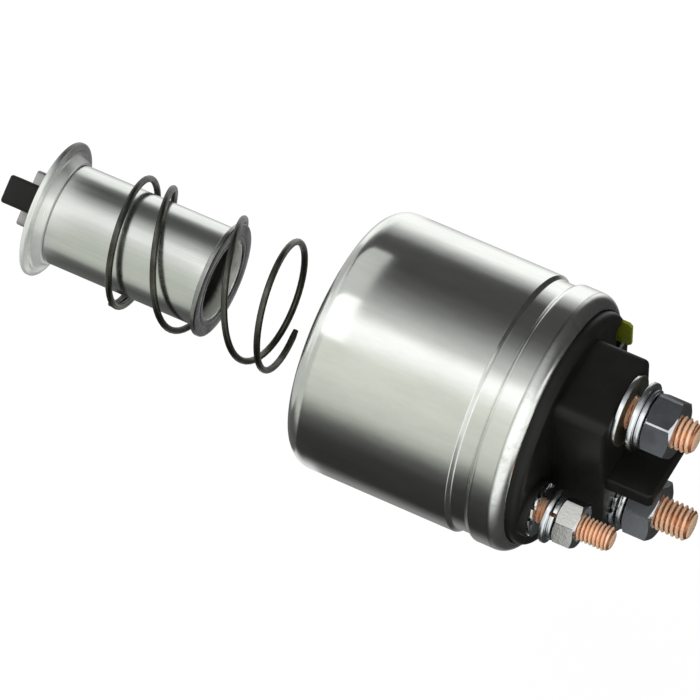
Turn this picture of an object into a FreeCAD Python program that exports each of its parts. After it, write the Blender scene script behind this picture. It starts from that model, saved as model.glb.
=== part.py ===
import FreeCAD, Part
import Sketcher
import math
import os

# Starter solenoid, in millimetres. The origin is the centre of the can's mounting face.
# +X runs along the axis to the terminals, and the withdrawn plunger lies at -X.

doc = FreeCAD.newDocument("StarterSolenoid")
sheet = doc.addObject("Spreadsheet::Sheet", "Sizes")
ROOT_THREE = math.sqrt(3)
X_AXIS = FreeCAD.Vector(1, 0, 0)


class Size:
    """A length that keeps both its value and the sheet expression that gives it."""

    def __init__(self, value, text):
        self.value = value
        self.text = text

    def _join(self, sign, other, value):
        text = other.text if isinstance(other, Size) else repr(other)
        return Size(value, "(" + self.text + " " + sign + " " + text + ")")

    def __add__(self, other):
        return self._join("+", other, self.value + number(other))

    def __sub__(self, other):
        return self._join("-", other, self.value - number(other))

    def __mul__(self, other):
        return self._join("*", other, self.value * number(other))

    def __truediv__(self, other):
        return self._join("/", other, self.value / number(other))

    def __neg__(self):
        return Size(-self.value, "(0 - " + self.text + ")")


ZERO = Size(0.0, "0")


def number(item):
    return item.value if isinstance(item, Size) else float(item)


rows_used = []


def size(name, value):
    """Write one driving dimension into the sheet and hand back its Size."""
    rows_used.append(name)
    row = str(len(rows_used))
    sheet.set("A" + row, name)
    sheet.set("B" + row, str(value))
    sheet.setAlias("B" + row, name)
    return Size(float(value), "Sizes." + name)


# Can: one drawn steel cup, with its open edge rolled over the cap
can_radius = size("can_radius", 31.2)
can_wall = size("can_wall", 2.4)
front_wall = size("front_wall", 4.0)
front_corner = size("front_corner", 5.5)
can_step = size("can_step", 42.6)
neck_depth = size("neck_depth", 1.0)
neck_length = size("neck_length", 3.7)
neck_bevel = size("neck_bevel", 0.8)
seat_depth = size("seat_depth", 0.4)
rim_length = size("rim_length", 9.1)
rim_round = size("rim_round", 3.6)
rim_run = size("rim_run", 3.3)
lip_drop = size("lip_drop", 2.3)
lip_width = size("lip_width", 0.7)
lip_thickness = size("lip_thickness", 1.2)
hole_radius = size("hole_radius", 2.1)
hole_shift = size("hole_shift", 1.0)

# Plunger and its guide
plunger_radius = size("plunger_radius", 12.0)
plunger_wall = size("plunger_wall", 2.4)
plunger_start = size("plunger_start", -71.5)
plunger_length = size("plunger_length", 40.6)
plunger_floor = size("plunger_floor", 5.5)
plunger_chamfer = size("plunger_chamfer", 0.5)
ring_step = size("ring_step", 1.8)
ring_width = size("ring_width", 1.3)
ring_spigot_step = size("ring_spigot_step", 1.0)
running_gap = size("running_gap", 0.07)
sleeve_wall = size("sleeve_wall", 0.6)
sleeve_flange = size("sleeve_flange", 2.33)
sleeve_recess = size("sleeve_recess", 0.4)
sleeve_overlap = size("sleeve_overlap", 6.5)
press_gap = size("press_gap", 0.05)
stop_gap = size("stop_gap", 0.3)
pole_gap = size("pole_gap", 1.5)

# Spring seat: a pressed cup on the plunger's outer end
seat_cup_margin = size("seat_cup_margin", 1.45)
seat_cup_length = size("seat_cup_length", 4.6)
seat_cup_sheet = size("seat_cup_sheet", 1.2)
seat_cup_bend = size("seat_cup_bend", 2.2)
seat_spigot_step = size("seat_spigot_step", 1.5)

# Return spring: round wire, one closed turn at each end
wire_radius = size("wire_radius", 0.78)
coil_clearance = size("coil_clearance", 2.85)
spring_offset = size("spring_offset", 16.4)
spring_turn = size("spring_turn", 212.9)
closed_pitch = size("closed_pitch", 1.6)
open_pitch = size("open_pitch", 18.2)
first_closed_turns = size("first_closed_turns", 1.25)
open_turns = size("open_turns", 2.0)
last_closed_turns = size("last_closed_turns", 0.95)
pitch_ease = size("pitch_ease", 0.5)
spring_lean = size("spring_lean", 1.7)

# Pull rod, its end fitting and the meshing spring inside the plunger
rod_radius = size("rod_radius", 3.0)
rod_reach = size("rod_reach", 5.7)
rod_inset = size("rod_inset", 6.8)
rod_head_gap = size("rod_head_gap", 0.4)
rod_head_width = size("rod_head_width", 1.8)
snap_ring_width = size("snap_ring_width", 1.0)
snap_ring_depth = size("snap_ring_depth", 0.8)
snap_ring_hold = size("snap_ring_hold", 1.4)
link_turn = size("link_turn", 32.9)
link_wall = size("link_wall", 1.35)
link_plate_width = size("link_plate_width", 2.6)
link_plate_span = size("link_plate_span", 13.3)
link_plate_depth = size("link_plate_depth", 4.0)
link_block_length = size("link_block_length", 9.0)
link_block_side = size("link_block_side", 6.8)
link_round = size("link_round", 0.9)
mesh_wire_radius = size("mesh_wire_radius", 0.8)
mesh_clearance = size("mesh_clearance", 3.6)
mesh_turns = size("mesh_turns", 6)

# Coil, pole core and core plate inside the can
bobbin_clearance = size("bobbin_clearance", 0.3)
bobbin_wall = size("bobbin_wall", 1.2)
bobbin_flange = size("bobbin_flange", 1.5)
pull_in_share = size("pull_in_share", 0.49)
winding_gap = size("winding_gap", 0.1)
hold_in_cover = size("hold_in_cover", 1.4)
core_length = size("core_length", 11.5)
core_bevel = size("core_bevel", 1.5)
core_spigot = size("core_spigot", 8.0)
plate_cover = size("plate_cover", 1.6)
plate_width = size("plate_width", 5.0)
gasket_width = size("gasket_width", 1.0)
gasket_face = size("gasket_face", 2.2)

# Terminal cap, moulded in one piece
cap_wall = size("cap_wall", 1.9)
cap_gap = size("cap_gap", 0.1)
cap_rise = size("cap_rise", 2.8)
cap_base_wall = size("cap_base_wall", 2.0)
cap_round = size("cap_round", 2.4)
block_share = size("block_share", 0.4093)
block_margin = size("block_margin", 5.1)
block_round = size("block_round", 2.6)
block_rise = size("block_rise", 12.8)
block_roof = size("block_roof", 8.0)
block_wall = size("block_wall", 1.7)
barrier_inset = size("barrier_inset", 2.0)
barrier_half_height = size("barrier_half_height", 2.0)
barrier_rise = size("barrier_rise", 11.2)
barrier_round = size("barrier_round", 0.8)
barrier_corner = size("barrier_corner", 1.4)
well_radius = size("well_radius", 5.2)
well_depth = size("well_depth", 6.4)
boss_radius = size("boss_radius", 6.9)
boss_rise = size("boss_rise", 1.7)
boss_shift = size("boss_shift", 0.7)
island_half_height = size("island_half_height", 4.4)
island_length = size("island_length", 5.0)
island_edge = size("island_edge", 1.1)
island_lift = size("island_lift", 2.0)
notch_depth = size("notch_depth", 3.8)
notch_length = size("notch_length", 3.8)
notch_back = size("notch_back", 1.2)
notch_margin = size("notch_margin", 0.6)

# Terminals
main_stud_radius = size("main_stud_radius", 4.0)
main_stud_edge = size("main_stud_edge", 6.0)
main_stud_reach = size("main_stud_reach", 17.3)
stud_head_width = size("stud_head_width", 4.0)
stud_head_inner = size("stud_head_inner", 7.5)
stud_head_half = size("stud_head_half", 6.0)
stud_head_outer = size("stud_head_outer", 4.0)
stud_gap = size("stud_gap", 0.1)
switch_stud_radius = size("switch_stud_radius", 3.0)
switch_stud_height = size("switch_stud_height", -3.0)
switch_stud_reach = size("switch_stud_reach", 18.4)
switch_head_radius = size("switch_head_radius", 5.0)
switch_head_width = size("switch_head_width", 2.5)
stud_bevel = size("stud_bevel", 0.9)
thread_depth = size("thread_depth", 0.35)
spade_width = size("spade_width", 8.0)
spade_sheet = size("spade_sheet", 0.8)
spade_margin = size("spade_margin", 3.6)
spade_height = size("spade_height", 8.0)
spade_reach = size("spade_reach", 2.0)
spade_bevel = size("spade_bevel", 0.8)
spade_hole = size("spade_hole", 0.8)
spade_hole_inset = size("spade_hole_inset", 2.4)

# Terminal washers and nuts
washer_gap = size("washer_gap", 0.15)
thread_gap = size("thread_gap", 0.02)
stack_gap = size("stack_gap", 0.02)
seat_washer_radius = size("seat_washer_radius", 8.6)
seat_washer_width = size("seat_washer_width", 1.2)
flat_washer_radius = size("flat_washer_radius", 8.2)
flat_washer_width = size("flat_washer_width", 1.3)
lock_washer_radius = size("lock_washer_radius", 7.0)
lock_washer_width = size("lock_washer_width", 1.4)
main_nut_flats = size("main_nut_flats", 13.0)
main_nut_width = size("main_nut_width", 6.9)
cable_gap = size("cable_gap", 3.4)
battery_nut_turn = size("battery_nut_turn", 8.0)
motor_nut_turn = size("motor_nut_turn", 20.0)
switch_seat_radius = size("switch_seat_radius", 6.4)
switch_seat_width = size("switch_seat_width", 0.9)
switch_flat_radius = size("switch_flat_radius", 6.6)
switch_flat_width = size("switch_flat_width", 1.2)
switch_lock_radius = size("switch_lock_radius", 5.4)
switch_lock_width = size("switch_lock_width", 1.3)
wire_gap = size("wire_gap", 3.0)
switch_nut_flats = size("switch_nut_flats", 10.0)
switch_nut_width = size("switch_nut_width", 5.2)
switch_nut_turn = size("switch_nut_turn", 14.0)
nut_bevel_slope = size("nut_bevel_slope", 0.577)
nut_face_share = size("nut_face_share", 0.96)
tooth_depth = size("tooth_depth", 1.3)
tooth_slot = size("tooth_slot", 1.1)
tooth_count = size("tooth_count", 14)
split_gap = size("split_gap", 10)

# Moving contact
contact_gap = size("contact_gap", 2.2)
bridge_overhang = size("bridge_overhang", 2.0)
bridge_half_width = size("bridge_half_width", 6.0)
bridge_width = size("bridge_width", 2.4)
bridge_round = size("bridge_round", 2.0)
stem_radius = size("stem_radius", 2.4)
stem_end_gap = size("stem_end_gap", 0.4)
collar_radius = size("collar_radius", 5.4)
collar_width = size("collar_width", 1.2)
insulator_radius = size("insulator_radius", 6.5)
insulator_width = size("insulator_width", 1.2)
insulator_hub = size("insulator_hub", 3.4)
contact_wire_radius = size("contact_wire_radius", 0.5)
contact_coil_radius = size("contact_coil_radius", 4.0)
contact_turns = size("contact_turns", 4)
clip_radius = size("clip_radius", 4.4)
clip_width = size("clip_width", 0.8)
return_wire_radius = size("return_wire_radius", 0.35)
return_coil_radius = size("return_coil_radius", 3.7)
return_turns = size("return_turns", 5)
doc.recompute()

# Radii and heights that follow from the sizes above
can_inner_radius = can_radius - can_wall
neck_radius = can_radius - neck_depth
seat_radius = can_inner_radius + seat_depth
lip_outer_radius = can_radius - lip_drop
lip_inner_radius = lip_outer_radius - lip_width
plunger_bore = plunger_radius - plunger_wall
ring_spigot = plunger_radius - ring_spigot_step
seat_spigot = plunger_radius - seat_spigot_step
ring_radius = plunger_radius + ring_step
sleeve_radius = ring_radius + running_gap
sleeve_outer = sleeve_radius + sleeve_wall
sleeve_lip = sleeve_outer + sleeve_flange
coil_radius = plunger_radius + coil_clearance
seat_cup_radius = coil_radius + seat_cup_margin
hole_circle_radius = (sleeve_lip + can_radius) / 2 - hole_shift
cap_neck_radius = lip_inner_radius - cap_gap
chamber_radius = cap_neck_radius - cap_wall
block_half_width = cap_neck_radius * block_share
block_half_height = cap_neck_radius - block_margin
barrier_half_width = block_half_width - barrier_inset
main_stud_height = block_half_height - main_stud_edge
switch_stud_across = -(block_half_width + cap_neck_radius) / 2 - boss_shift
spade_across = cap_neck_radius - spade_margin

# Places along the axis
plunger_end = plunger_start + plunger_length
rod_start = plunger_start - rod_reach
rod_end = plunger_end - rod_inset
link_plate_start = rod_start - link_wall - link_plate_width
neck_end = can_step + neck_length
lip_end = neck_end + rim_length
plate_start = can_step - plate_cover
plate_end = plate_start + plate_width
core_face = plate_start - core_length
plunger_travel = core_face - pole_gap - plunger_end
cap_start = plate_end + gasket_width
cap_shoulder = lip_end - lip_thickness
cap_base = lip_end + cap_rise
chamber_top = cap_base - cap_base_wall
block_top = cap_base + block_rise
boss_top = cap_base + boss_rise
pocket_roof = block_top - block_roof
island_start = cap_start + island_lift
bridge_face = pocket_roof - stud_head_width - contact_gap
rod_tip = rod_end + plunger_travel + stop_gap
collar_start = plate_end + stop_gap
clip_end = bridge_face + insulator_width + clip_width
battery_nut_start = block_top + cable_gap + flat_washer_width + lock_washer_width + stack_gap * 2
motor_nut_start = block_top + seat_washer_width + lock_washer_width + stack_gap * 2
switch_nut_start = boss_top + wire_gap + switch_flat_width + switch_lock_width + stack_gap * 2

# Steps in a turn of wire, and sides of its cross-section
RETURN_STEPS, RETURN_SIDES = 16, 8
SMALL_STEPS, SMALL_SIDES = 12, 6


def body(label):
    item = doc.addObject("PartDesign::Body", label)
    item.Label = label
    return item


def sketch_on(item, name, role, lift=None):
    """A sketch on one of the body's own origin planes, lifted along the plane's normal."""
    sketch = item.newObject("Sketcher::SketchObject", item.Label + "_" + name)
    plane = [f for f in item.Origin.OriginFeatures if f.Role == role][0]
    sketch.AttachmentSupport = (plane, [""])
    sketch.MapMode = "FlatFace"
    if lift is not None:
        sketch.setExpression("AttachmentOffset.Base.z", lift.text)
    return sketch


def bind(sketch, kind, places, length):
    index = sketch.addConstraint(Sketcher.Constraint(kind, *places, length.value))
    sketch.setExpression("Constraints[" + str(index) + "]", length.text)


def arc_between(first, last, radius, side):
    """The short arc between two points, bulging to the left (1) or right (-1) of the way."""
    way = last - first
    middle = first + way * 0.5
    rise = math.sqrt(max(radius ** 2 - (way.Length / 2) ** 2, 0))
    left = FreeCAD.Vector(-way.y, way.x, 0).normalize()
    centre = middle - left * (side * rise)
    start, end = (last, first) if side > 0 else (first, last)
    angles = [math.atan2(p.y - centre.y, p.x - centre.x) for p in (start, end)]
    circle = Part.Circle(centre, FreeCAD.Vector(0, 0, 1), radius)
    return Part.ArcOfCircle(circle, angles[0], angles[1])


def outline(sketch, corners):
    """A closed outline. A corner is (u, v), or (u, v, radius, side) where an arc leaves it."""
    points = [FreeCAD.Vector(c[0].value, c[1].value, 0) for c in corners]
    ends = []
    for i, corner in enumerate(corners):
        first, last = points[i], points[(i + 1) % len(points)]
        if len(corner) == 2:
            edge = sketch.addGeometry(Part.LineSegment(first, last))
            ends.append((edge, 1, 2))
        else:
            edge = sketch.addGeometry(arc_between(first, last, corner[2].value, corner[3]))
            ends.append((edge, 2, 1) if corner[3] > 0 else (edge, 1, 2))
    for i, (edge, start, end) in enumerate(ends):
        following = ends[(i + 1) % len(ends)]
        sketch.addConstraint(Sketcher.Constraint("Coincident", edge, end, following[0], following[1]))
    for i, corner in enumerate(corners):
        edge, start, end = ends[i]
        bind(sketch, "DistanceX", (-1, 1, edge, start), corner[0])
        bind(sketch, "DistanceY", (-1, 1, edge, start), corner[1])
        if len(corner) == 4:
            bind(sketch, "Radius", (edge,), corner[2])


def circle(sketch, u, v, radius):
    place = FreeCAD.Vector(u.value, v.value, 0)
    edge = sketch.addGeometry(Part.Circle(place, FreeCAD.Vector(0, 0, 1), radius.value))
    bind(sketch, "DistanceX", (-1, 1, edge, 3), u)
    bind(sketch, "DistanceY", (-1, 1, edge, 3), v)
    bind(sketch, "Radius", (edge,), radius)


def rounded_box(sketch, low_u, low_v, high_u, high_v, corner):
    """A rectangle with rounded corners."""
    outline(sketch, [
        (low_u + corner, low_v), (high_u - corner, low_v, corner, -1),
        (high_u, low_v + corner), (high_u, high_v - corner, corner, -1),
        (high_u - corner, high_v), (low_u + corner, high_v, corner, -1),
        (low_u, high_v - corner), (low_u, low_v + corner, corner, -1),
    ])


def box_outline(sketch, low_u, low_v, high_u, high_v):
    outline(sketch, [(low_u, low_v), (high_u, low_v), (high_u, high_v), (low_u, high_v)])


def feature(item, kind, name, sketch):
    made = item.newObject("PartDesign::" + kind, item.Label + "_" + name)
    made.Profile = sketch
    item.Tip = made
    return made


def turn(item, name, corners, kind="Revolution", angle=360):
    """Revolve an outline of (x, radius) corners about the body's X axis."""
    sketch = sketch_on(item, name + "_outline", "XZ_Plane")
    outline(sketch, corners)
    made = feature(item, kind, name, sketch)
    made.ReferenceAxis = (sketch, ["H_Axis"])
    if isinstance(angle, Size):
        made.setExpression("Angle", angle.text)
    else:
        made.Angle = angle
    return made


def ring_outline(start, end, inner, outer):
    return [(start, inner), (end, inner), (end, outer), (start, outer)]


def ring(label, start, end, inner, outer):
    item = body(label)
    turn(item, "turned", ring_outline(start, end, inner, outer))
    return item


def extrude(item, name, start, length, draw, kind="Pad"):
    """Pad towards +X from start, or pocket towards -X from start."""
    sketch = sketch_on(item, name + "_outline", "YZ_Plane", start)
    draw(sketch)
    made = feature(item, kind, name, sketch)
    made.setExpression("Length", length.text)
    return made


def put(item, across, height, turned=None):
    """Place a body off the axis, turned about its own axis."""
    item.setExpression("Placement.Base.y", across.text)
    item.setExpression("Placement.Base.z", height.text)
    if turned is not None:
        item.Placement.Rotation = FreeCAD.Rotation(X_AXIS, turned.value)
        item.setExpression("Placement.Rotation.Angle", turned.text)
    return item


def make_can():
    item = body("can")
    rim_start = neck_end + (can_radius - neck_radius)
    bend_start = lip_end - rim_run
    turn(item, "shell", [
        (sleeve_recess + sleeve_wall, sleeve_outer + press_gap),
        (sleeve_recess + sleeve_wall, sleeve_lip + press_gap),
        (ZERO, sleeve_lip + press_gap),
        (ZERO, can_radius - front_corner, front_corner, 1),
        (front_corner, can_radius),
        (can_step - neck_bevel, can_radius),
        (can_step, neck_radius),
        (neck_end, neck_radius),
        (rim_start, can_radius),
        (bend_start, can_radius, rim_round, 1),
        (lip_end, lip_outer_radius),
        (lip_end, lip_inner_radius),
        (cap_shoulder, lip_inner_radius),
        (cap_shoulder, seat_radius),
        (plate_start, seat_radius),
        (plate_start, can_inner_radius),
        (front_wall, can_inner_radius),
        (front_wall, sleeve_outer + press_gap),
    ])
    hole = extrude(item, "mounting_hole", front_wall, front_wall,
                   lambda s: circle(s, ZERO, hole_circle_radius, hole_radius), "Pocket")
    pattern = item.newObject("PartDesign::PolarPattern", "can_hole_circle")
    pattern.Originals = [hole]
    pattern.Axis = (hole.Profile[0], ["N_Axis"])
    pattern.Angle = 360
    pattern.Occurrences = 3
    item.Tip = pattern


def make_guide_sleeve():
    item = body("guide_sleeve")
    end = core_face + sleeve_overlap
    turn(item, "drawn", [
        (sleeve_recess, sleeve_radius),
        (end, sleeve_radius),
        (end, sleeve_outer),
        (sleeve_recess + sleeve_wall, sleeve_outer),
        (sleeve_recess + sleeve_wall, sleeve_lip),
        (sleeve_recess, sleeve_lip),
    ])


def make_coil():
    tube = sleeve_outer + bobbin_clearance
    drum = tube + bobbin_wall
    flange = can_inner_radius - bobbin_clearance
    start = front_wall + bobbin_clearance
    end = plate_start - bobbin_clearance
    item = body("coil_bobbin")
    turn(item, "moulded", [
        (start, tube), (end, tube), (end, flange), (end - bobbin_flange, flange),
        (end - bobbin_flange, drum), (start + bobbin_flange, drum),
        (start + bobbin_flange, flange), (start, flange),
    ])
    first = start + bobbin_flange + winding_gap
    last = end - bobbin_flange - winding_gap
    hold_in = can_inner_radius - hold_in_cover
    pull_in = drum + (hold_in - drum) * pull_in_share
    ring("pull_in_winding", first, last, drum + winding_gap, pull_in)
    ring("hold_in_winding", first, last, pull_in + winding_gap, hold_in)


def make_pole_core():
    item = body("pole_core")
    outer = sleeve_radius - press_gap
    turn(item, "turned", [
        (core_face, rod_radius + running_gap),
        (core_face, outer - core_bevel),
        (core_face + core_bevel, outer),
        (plate_start, outer),
        (plate_start, core_spigot),
        (plate_end, core_spigot),
        (plate_end, rod_radius + running_gap),
    ])
    ring("core_plate", plate_start, plate_end, core_spigot + press_gap, seat_radius - press_gap)
    ring("cap_gasket", plate_end, cap_start, seat_radius - gasket_face, seat_radius - press_gap)


def make_terminal_cap():
    item = body("terminal_cap")
    turn(item, "bowl", [
        (cap_start, chamber_radius),
        (cap_start, seat_radius - press_gap),
        (cap_shoulder, seat_radius - press_gap),
        (cap_shoulder, cap_neck_radius),
        (cap_base - cap_round, cap_neck_radius, cap_round, 1),
        (cap_base, cap_neck_radius - cap_round),
        (cap_base, ZERO),
        (chamber_top, ZERO),
        (chamber_top, chamber_radius),
    ])
    extrude(item, "terminal_block", chamber_top, block_top - chamber_top,
            lambda s: rounded_box(s, -block_half_width, -block_half_height,
                                  block_half_width, block_half_height, block_round))
    extrude(item, "switch_boss", chamber_top, boss_top - chamber_top,
            lambda s: circle(s, switch_stud_across, switch_stud_height, boss_radius))
    extrude(item, "spade_island", island_start, cap_base - island_start,
            lambda s: box_outline(s, spade_across - island_length, spade_height - island_half_height,
                                  chamber_radius - island_edge, spade_height + island_half_height))
    extrude(item, "barrier", block_top, barrier_rise,
            lambda s: rounded_box(s, -barrier_half_width, -barrier_half_height,
                                  barrier_half_width, barrier_half_height, barrier_round))
    make_cap_cuts(item)


def make_cap_cuts(item):
    inner_width = block_half_width - block_wall
    inner_height = block_half_height - block_wall
    extrude(item, "contact_pocket", pocket_roof, pocket_roof - chamber_top,
            lambda s: box_outline(s, -inner_width, -inner_height, inner_width, inner_height),
            "Pocket")
    extrude(item, "spring_well", pocket_roof + well_depth, well_depth,
            lambda s: circle(s, ZERO, ZERO, well_radius), "Pocket")

    def main_holes(sketch):
        circle(sketch, ZERO, main_stud_height, main_stud_radius + stud_gap)
        circle(sketch, ZERO, -main_stud_height, main_stud_radius + stud_gap)

    extrude(item, "main_stud_holes", block_top, block_roof, main_holes, "Pocket")
    extrude(item, "switch_stud_hole", boss_top, boss_top - chamber_top,
            lambda s: circle(s, switch_stud_across, switch_stud_height,
                             switch_stud_radius + stud_gap), "Pocket")
    half_notch = spade_width / 2 + notch_margin
    extrude(item, "spade_notch", cap_base, notch_depth,
            lambda s: box_outline(s, spade_across - notch_length, spade_height - half_notch,
                                  spade_across + notch_back, spade_height + half_notch),
            "Pocket")
    extrude(item, "spade_slot", cap_base - notch_depth, cap_base - notch_depth - island_start,
            lambda s: blade_outline(s, press_gap), "Pocket")
    corner_cut = sketch_on(item, "barrier_corner_outline", "XY_Plane")
    top = block_top + barrier_rise
    for side in (1, -1):
        edge = barrier_half_width * side
        outline(corner_cut, [(top, edge), (top - barrier_corner, edge),
                             (top, edge - barrier_corner * side)])
    corners = feature(item, "Pocket", "barrier_corners", corner_cut)
    corners.Type = "ThroughAll"
    corners.Midplane = True


def blade_outline(sketch, gap):
    half_sheet = spade_sheet / 2 + gap
    half_width = spade_width / 2 + gap
    box_outline(sketch, spade_across - half_sheet, spade_height - half_width,
                spade_across + half_sheet, spade_height + half_width)


def threaded(radius, start, end, nut_start, nut_width):
    """Corners of a stud from start to its bevelled end. Inside the nut it is as thin as the two
    threads leave it together."""
    engaged = radius - thread_depth
    free_start = nut_start + nut_width + stop_gap
    return [
        (start, ZERO), (end, ZERO), (end, radius - stud_bevel), (end - stud_bevel, radius),
        (free_start, radius), (free_start, engaged), (nut_start, engaged), (nut_start, radius),
    ]


def make_main_stud(label, side, nut_start):
    """A terminal stud with a flat contact head that is wider towards the axis."""
    item = body(label)
    head_start = pocket_roof - stud_head_width
    corners = threaded(main_stud_radius, head_start, block_top + main_stud_reach, nut_start,
                       main_nut_width)
    turn(item, "shank", corners + [(head_start, main_stud_radius)])
    near, far = (-stud_head_inner, stud_head_outer) if side > 0 else (-stud_head_outer, stud_head_inner)
    extrude(item, "contact_head", head_start, stud_head_width,
            lambda s: box_outline(s, -stud_head_half, near, stud_head_half, far))
    put(item, ZERO, main_stud_height * side)


def make_switch_stud():
    item = body("switch_stud")
    head_start = chamber_top - switch_head_width
    corners = threaded(switch_stud_radius, head_start, boss_top + switch_stud_reach,
                       switch_nut_start, switch_nut_width)
    turn(item, "turned", corners + [
        (chamber_top, switch_stud_radius),
        (chamber_top, switch_head_radius),
        (head_start, switch_head_radius),
    ])
    put(item, switch_stud_across, switch_stud_height)


def make_spade():
    """A flat blade whose free end is bevelled at both edges, with a latching hole."""
    item = body("spade_terminal")
    sketch = sketch_on(item, "blade_outline", "XZ_Plane")
    low = spade_height - spade_width / 2
    high = spade_height + spade_width / 2
    end = cap_base + spade_reach
    outline(sketch, [
        (island_start + press_gap, low), (end - spade_bevel, low),
        (end, low + spade_bevel), (end, high - spade_bevel),
        (end - spade_bevel, high), (island_start + press_gap, high),
    ])
    circle(sketch, end - spade_hole_inset, spade_height, spade_hole)
    blade = feature(item, "Pad", "blade", sketch)
    blade.setExpression("Length", spade_sheet.text)
    blade.Midplane = True
    item.setExpression("Placement.Base.y", spade_across.text)


def flat_washer(label, start, width, bore, outer, across, height):
    item = ring(label, start, start + width, bore + washer_gap, outer)
    put(item, across, height)


def split_washer(label, start, width, bore, outer, across, height, turned):
    """A spring washer, cut through at one place."""
    item = body(label)
    turn(item, "coiled", ring_outline(start, start + width, bore + washer_gap, outer),
         angle=-split_gap + 360)
    put(item, across, height, turned)


def toothed_washer(label, start, width, bore, outer, across, height):
    """A lock washer whose outer edge is cut into teeth."""
    item = ring(label, start, start + width, bore + washer_gap, outer)
    slot = extrude(item, "tooth_slot", start + width, width,
                   lambda s: box_outline(s, -tooth_slot / 2, outer - tooth_depth,
                                         tooth_slot / 2, outer + tooth_depth), "Pocket")
    pattern = item.newObject("PartDesign::PolarPattern", label + "_teeth")
    pattern.Originals = [slot]
    pattern.Axis = (slot.Profile[0], ["N_Axis"])
    pattern.Angle = 360
    pattern.setExpression("Occurrences", tooth_count.text)
    item.Tip = pattern
    put(item, across, height)


def hex_nut(label, start, width, flats, thread, across, height, turned):
    """A hexagon nut with its corners bevelled on both faces and a countersunk bore."""
    item = body(label)
    corner = flats / ROOT_THREE
    bore = thread - thread_depth + thread_gap

    def hexagon(sketch):
        half, tall = corner / 2, flats / 2
        outline(sketch, [(corner, ZERO), (half, tall), (-half, tall),
                         (-corner, ZERO), (-half, -tall), (half, -tall)])
        circle(sketch, ZERO, ZERO, bore)

    extrude(item, "hexagon", start, width, hexagon)
    face_radius = flats / 2 * nut_face_share
    reach = corner + stud_bevel
    rise = (reach - face_radius) * nut_bevel_slope
    for name, face, way in (("outer_bevel", start + width, -1), ("inner_bevel", start, 1)):
        turn(item, name, [(face, face_radius), (face, reach), (face + rise * way, reach)], "Groove")
    inner, sink = bore - thread_gap, thread + thread_gap
    turn(item, "countersink", [
        (start + width, inner), (start + width - (sink - inner), inner), (start + width, sink),
    ], "Groove")
    put(item, across, height, turned)


def make_terminal_hardware():
    lift = stack_gap
    up, down = main_stud_height, -main_stud_height
    main = main_stud_radius
    flat_washer("battery_seat_washer", block_top, seat_washer_width, main, seat_washer_radius, ZERO, up)
    place = block_top + cable_gap
    flat_washer("battery_flat_washer", place, flat_washer_width, main, flat_washer_radius, ZERO, up)
    split_washer("battery_spring_washer", place + flat_washer_width + lift, lock_washer_width, main,
                 lock_washer_radius, ZERO, up, battery_nut_turn)
    hex_nut("battery_nut", battery_nut_start, main_nut_width, main_nut_flats, main, ZERO, up,
            battery_nut_turn)

    toothed_washer("motor_lock_washer", block_top, seat_washer_width, main, seat_washer_radius,
                   ZERO, down)
    split_washer("motor_spring_washer", block_top + seat_washer_width + lift, lock_washer_width, main,
                 lock_washer_radius, ZERO, down, motor_nut_turn)
    hex_nut("motor_nut", motor_nut_start, main_nut_width, main_nut_flats, main, ZERO, down,
            motor_nut_turn)

    across, height, small = switch_stud_across, switch_stud_height, switch_stud_radius
    toothed_washer("switch_seat_washer", boss_top, switch_seat_width, small, switch_seat_radius,
                   across, height)
    place = boss_top + wire_gap
    flat_washer("switch_flat_washer", place, switch_flat_width, small, switch_flat_radius,
                across, height)
    split_washer("switch_spring_washer", place + switch_flat_width + lift, switch_lock_width, small,
                 switch_lock_radius, across, height, switch_nut_turn)
    hex_nut("switch_nut", switch_nut_start, switch_nut_width, switch_nut_flats, small, across, height,
            switch_nut_turn)


def wire_solid(label, centres, wire, sides):
    """A coiled wire: flat-sided sections stood square to the line of centres and joined up."""
    item = doc.addObject("Part::Feature", label)
    item.Label = label
    sections = []
    for i, centre in enumerate(centres):
        way = centres[min(i + 1, len(centres) - 1)] - centres[max(i - 1, 0)]
        out = FreeCAD.Vector(0, centre.y, centre.z).normalize()
        out = (out - way * (out.dot(way) / way.dot(way))).normalize()
        side = way.cross(out).normalize()
        corners = []
        for k in range(sides):
            angle = 2 * math.pi * (k + 0.5) / sides
            corners.append(centre + out * (wire.value * math.cos(angle))
                           + side * (wire.value * math.sin(angle)))
        sections.append(Part.makePolygon(corners + corners[:1]))
    item.Shape = Part.makeLoft(sections, True, True)
    return item


def spring_centres(start, coil, turns, steps_per_turn, first_angle, rise):
    """Centres of a right-hand coil about the X axis; rise gives the place along it."""
    centres = []
    for i in range(int(round(turns * steps_per_turn)) + 1):
        angle = first_angle + 2 * math.pi * i / steps_per_turn
        centres.append(FreeCAD.Vector(start + rise(i / steps_per_turn),
                                      coil * math.cos(angle), coil * math.sin(angle)))
    return centres


def even_spring(label, start, end, coil, wire, turns):
    """A spring of even pitch between two faces."""
    free = (end - start - wire * 2).value
    centres = spring_centres((start + wire).value, coil.value, turns.value, SMALL_STEPS, 0,
                             lambda done: free * done / turns.value)
    wire_solid(label, centres, wire, SMALL_SIDES)


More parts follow.
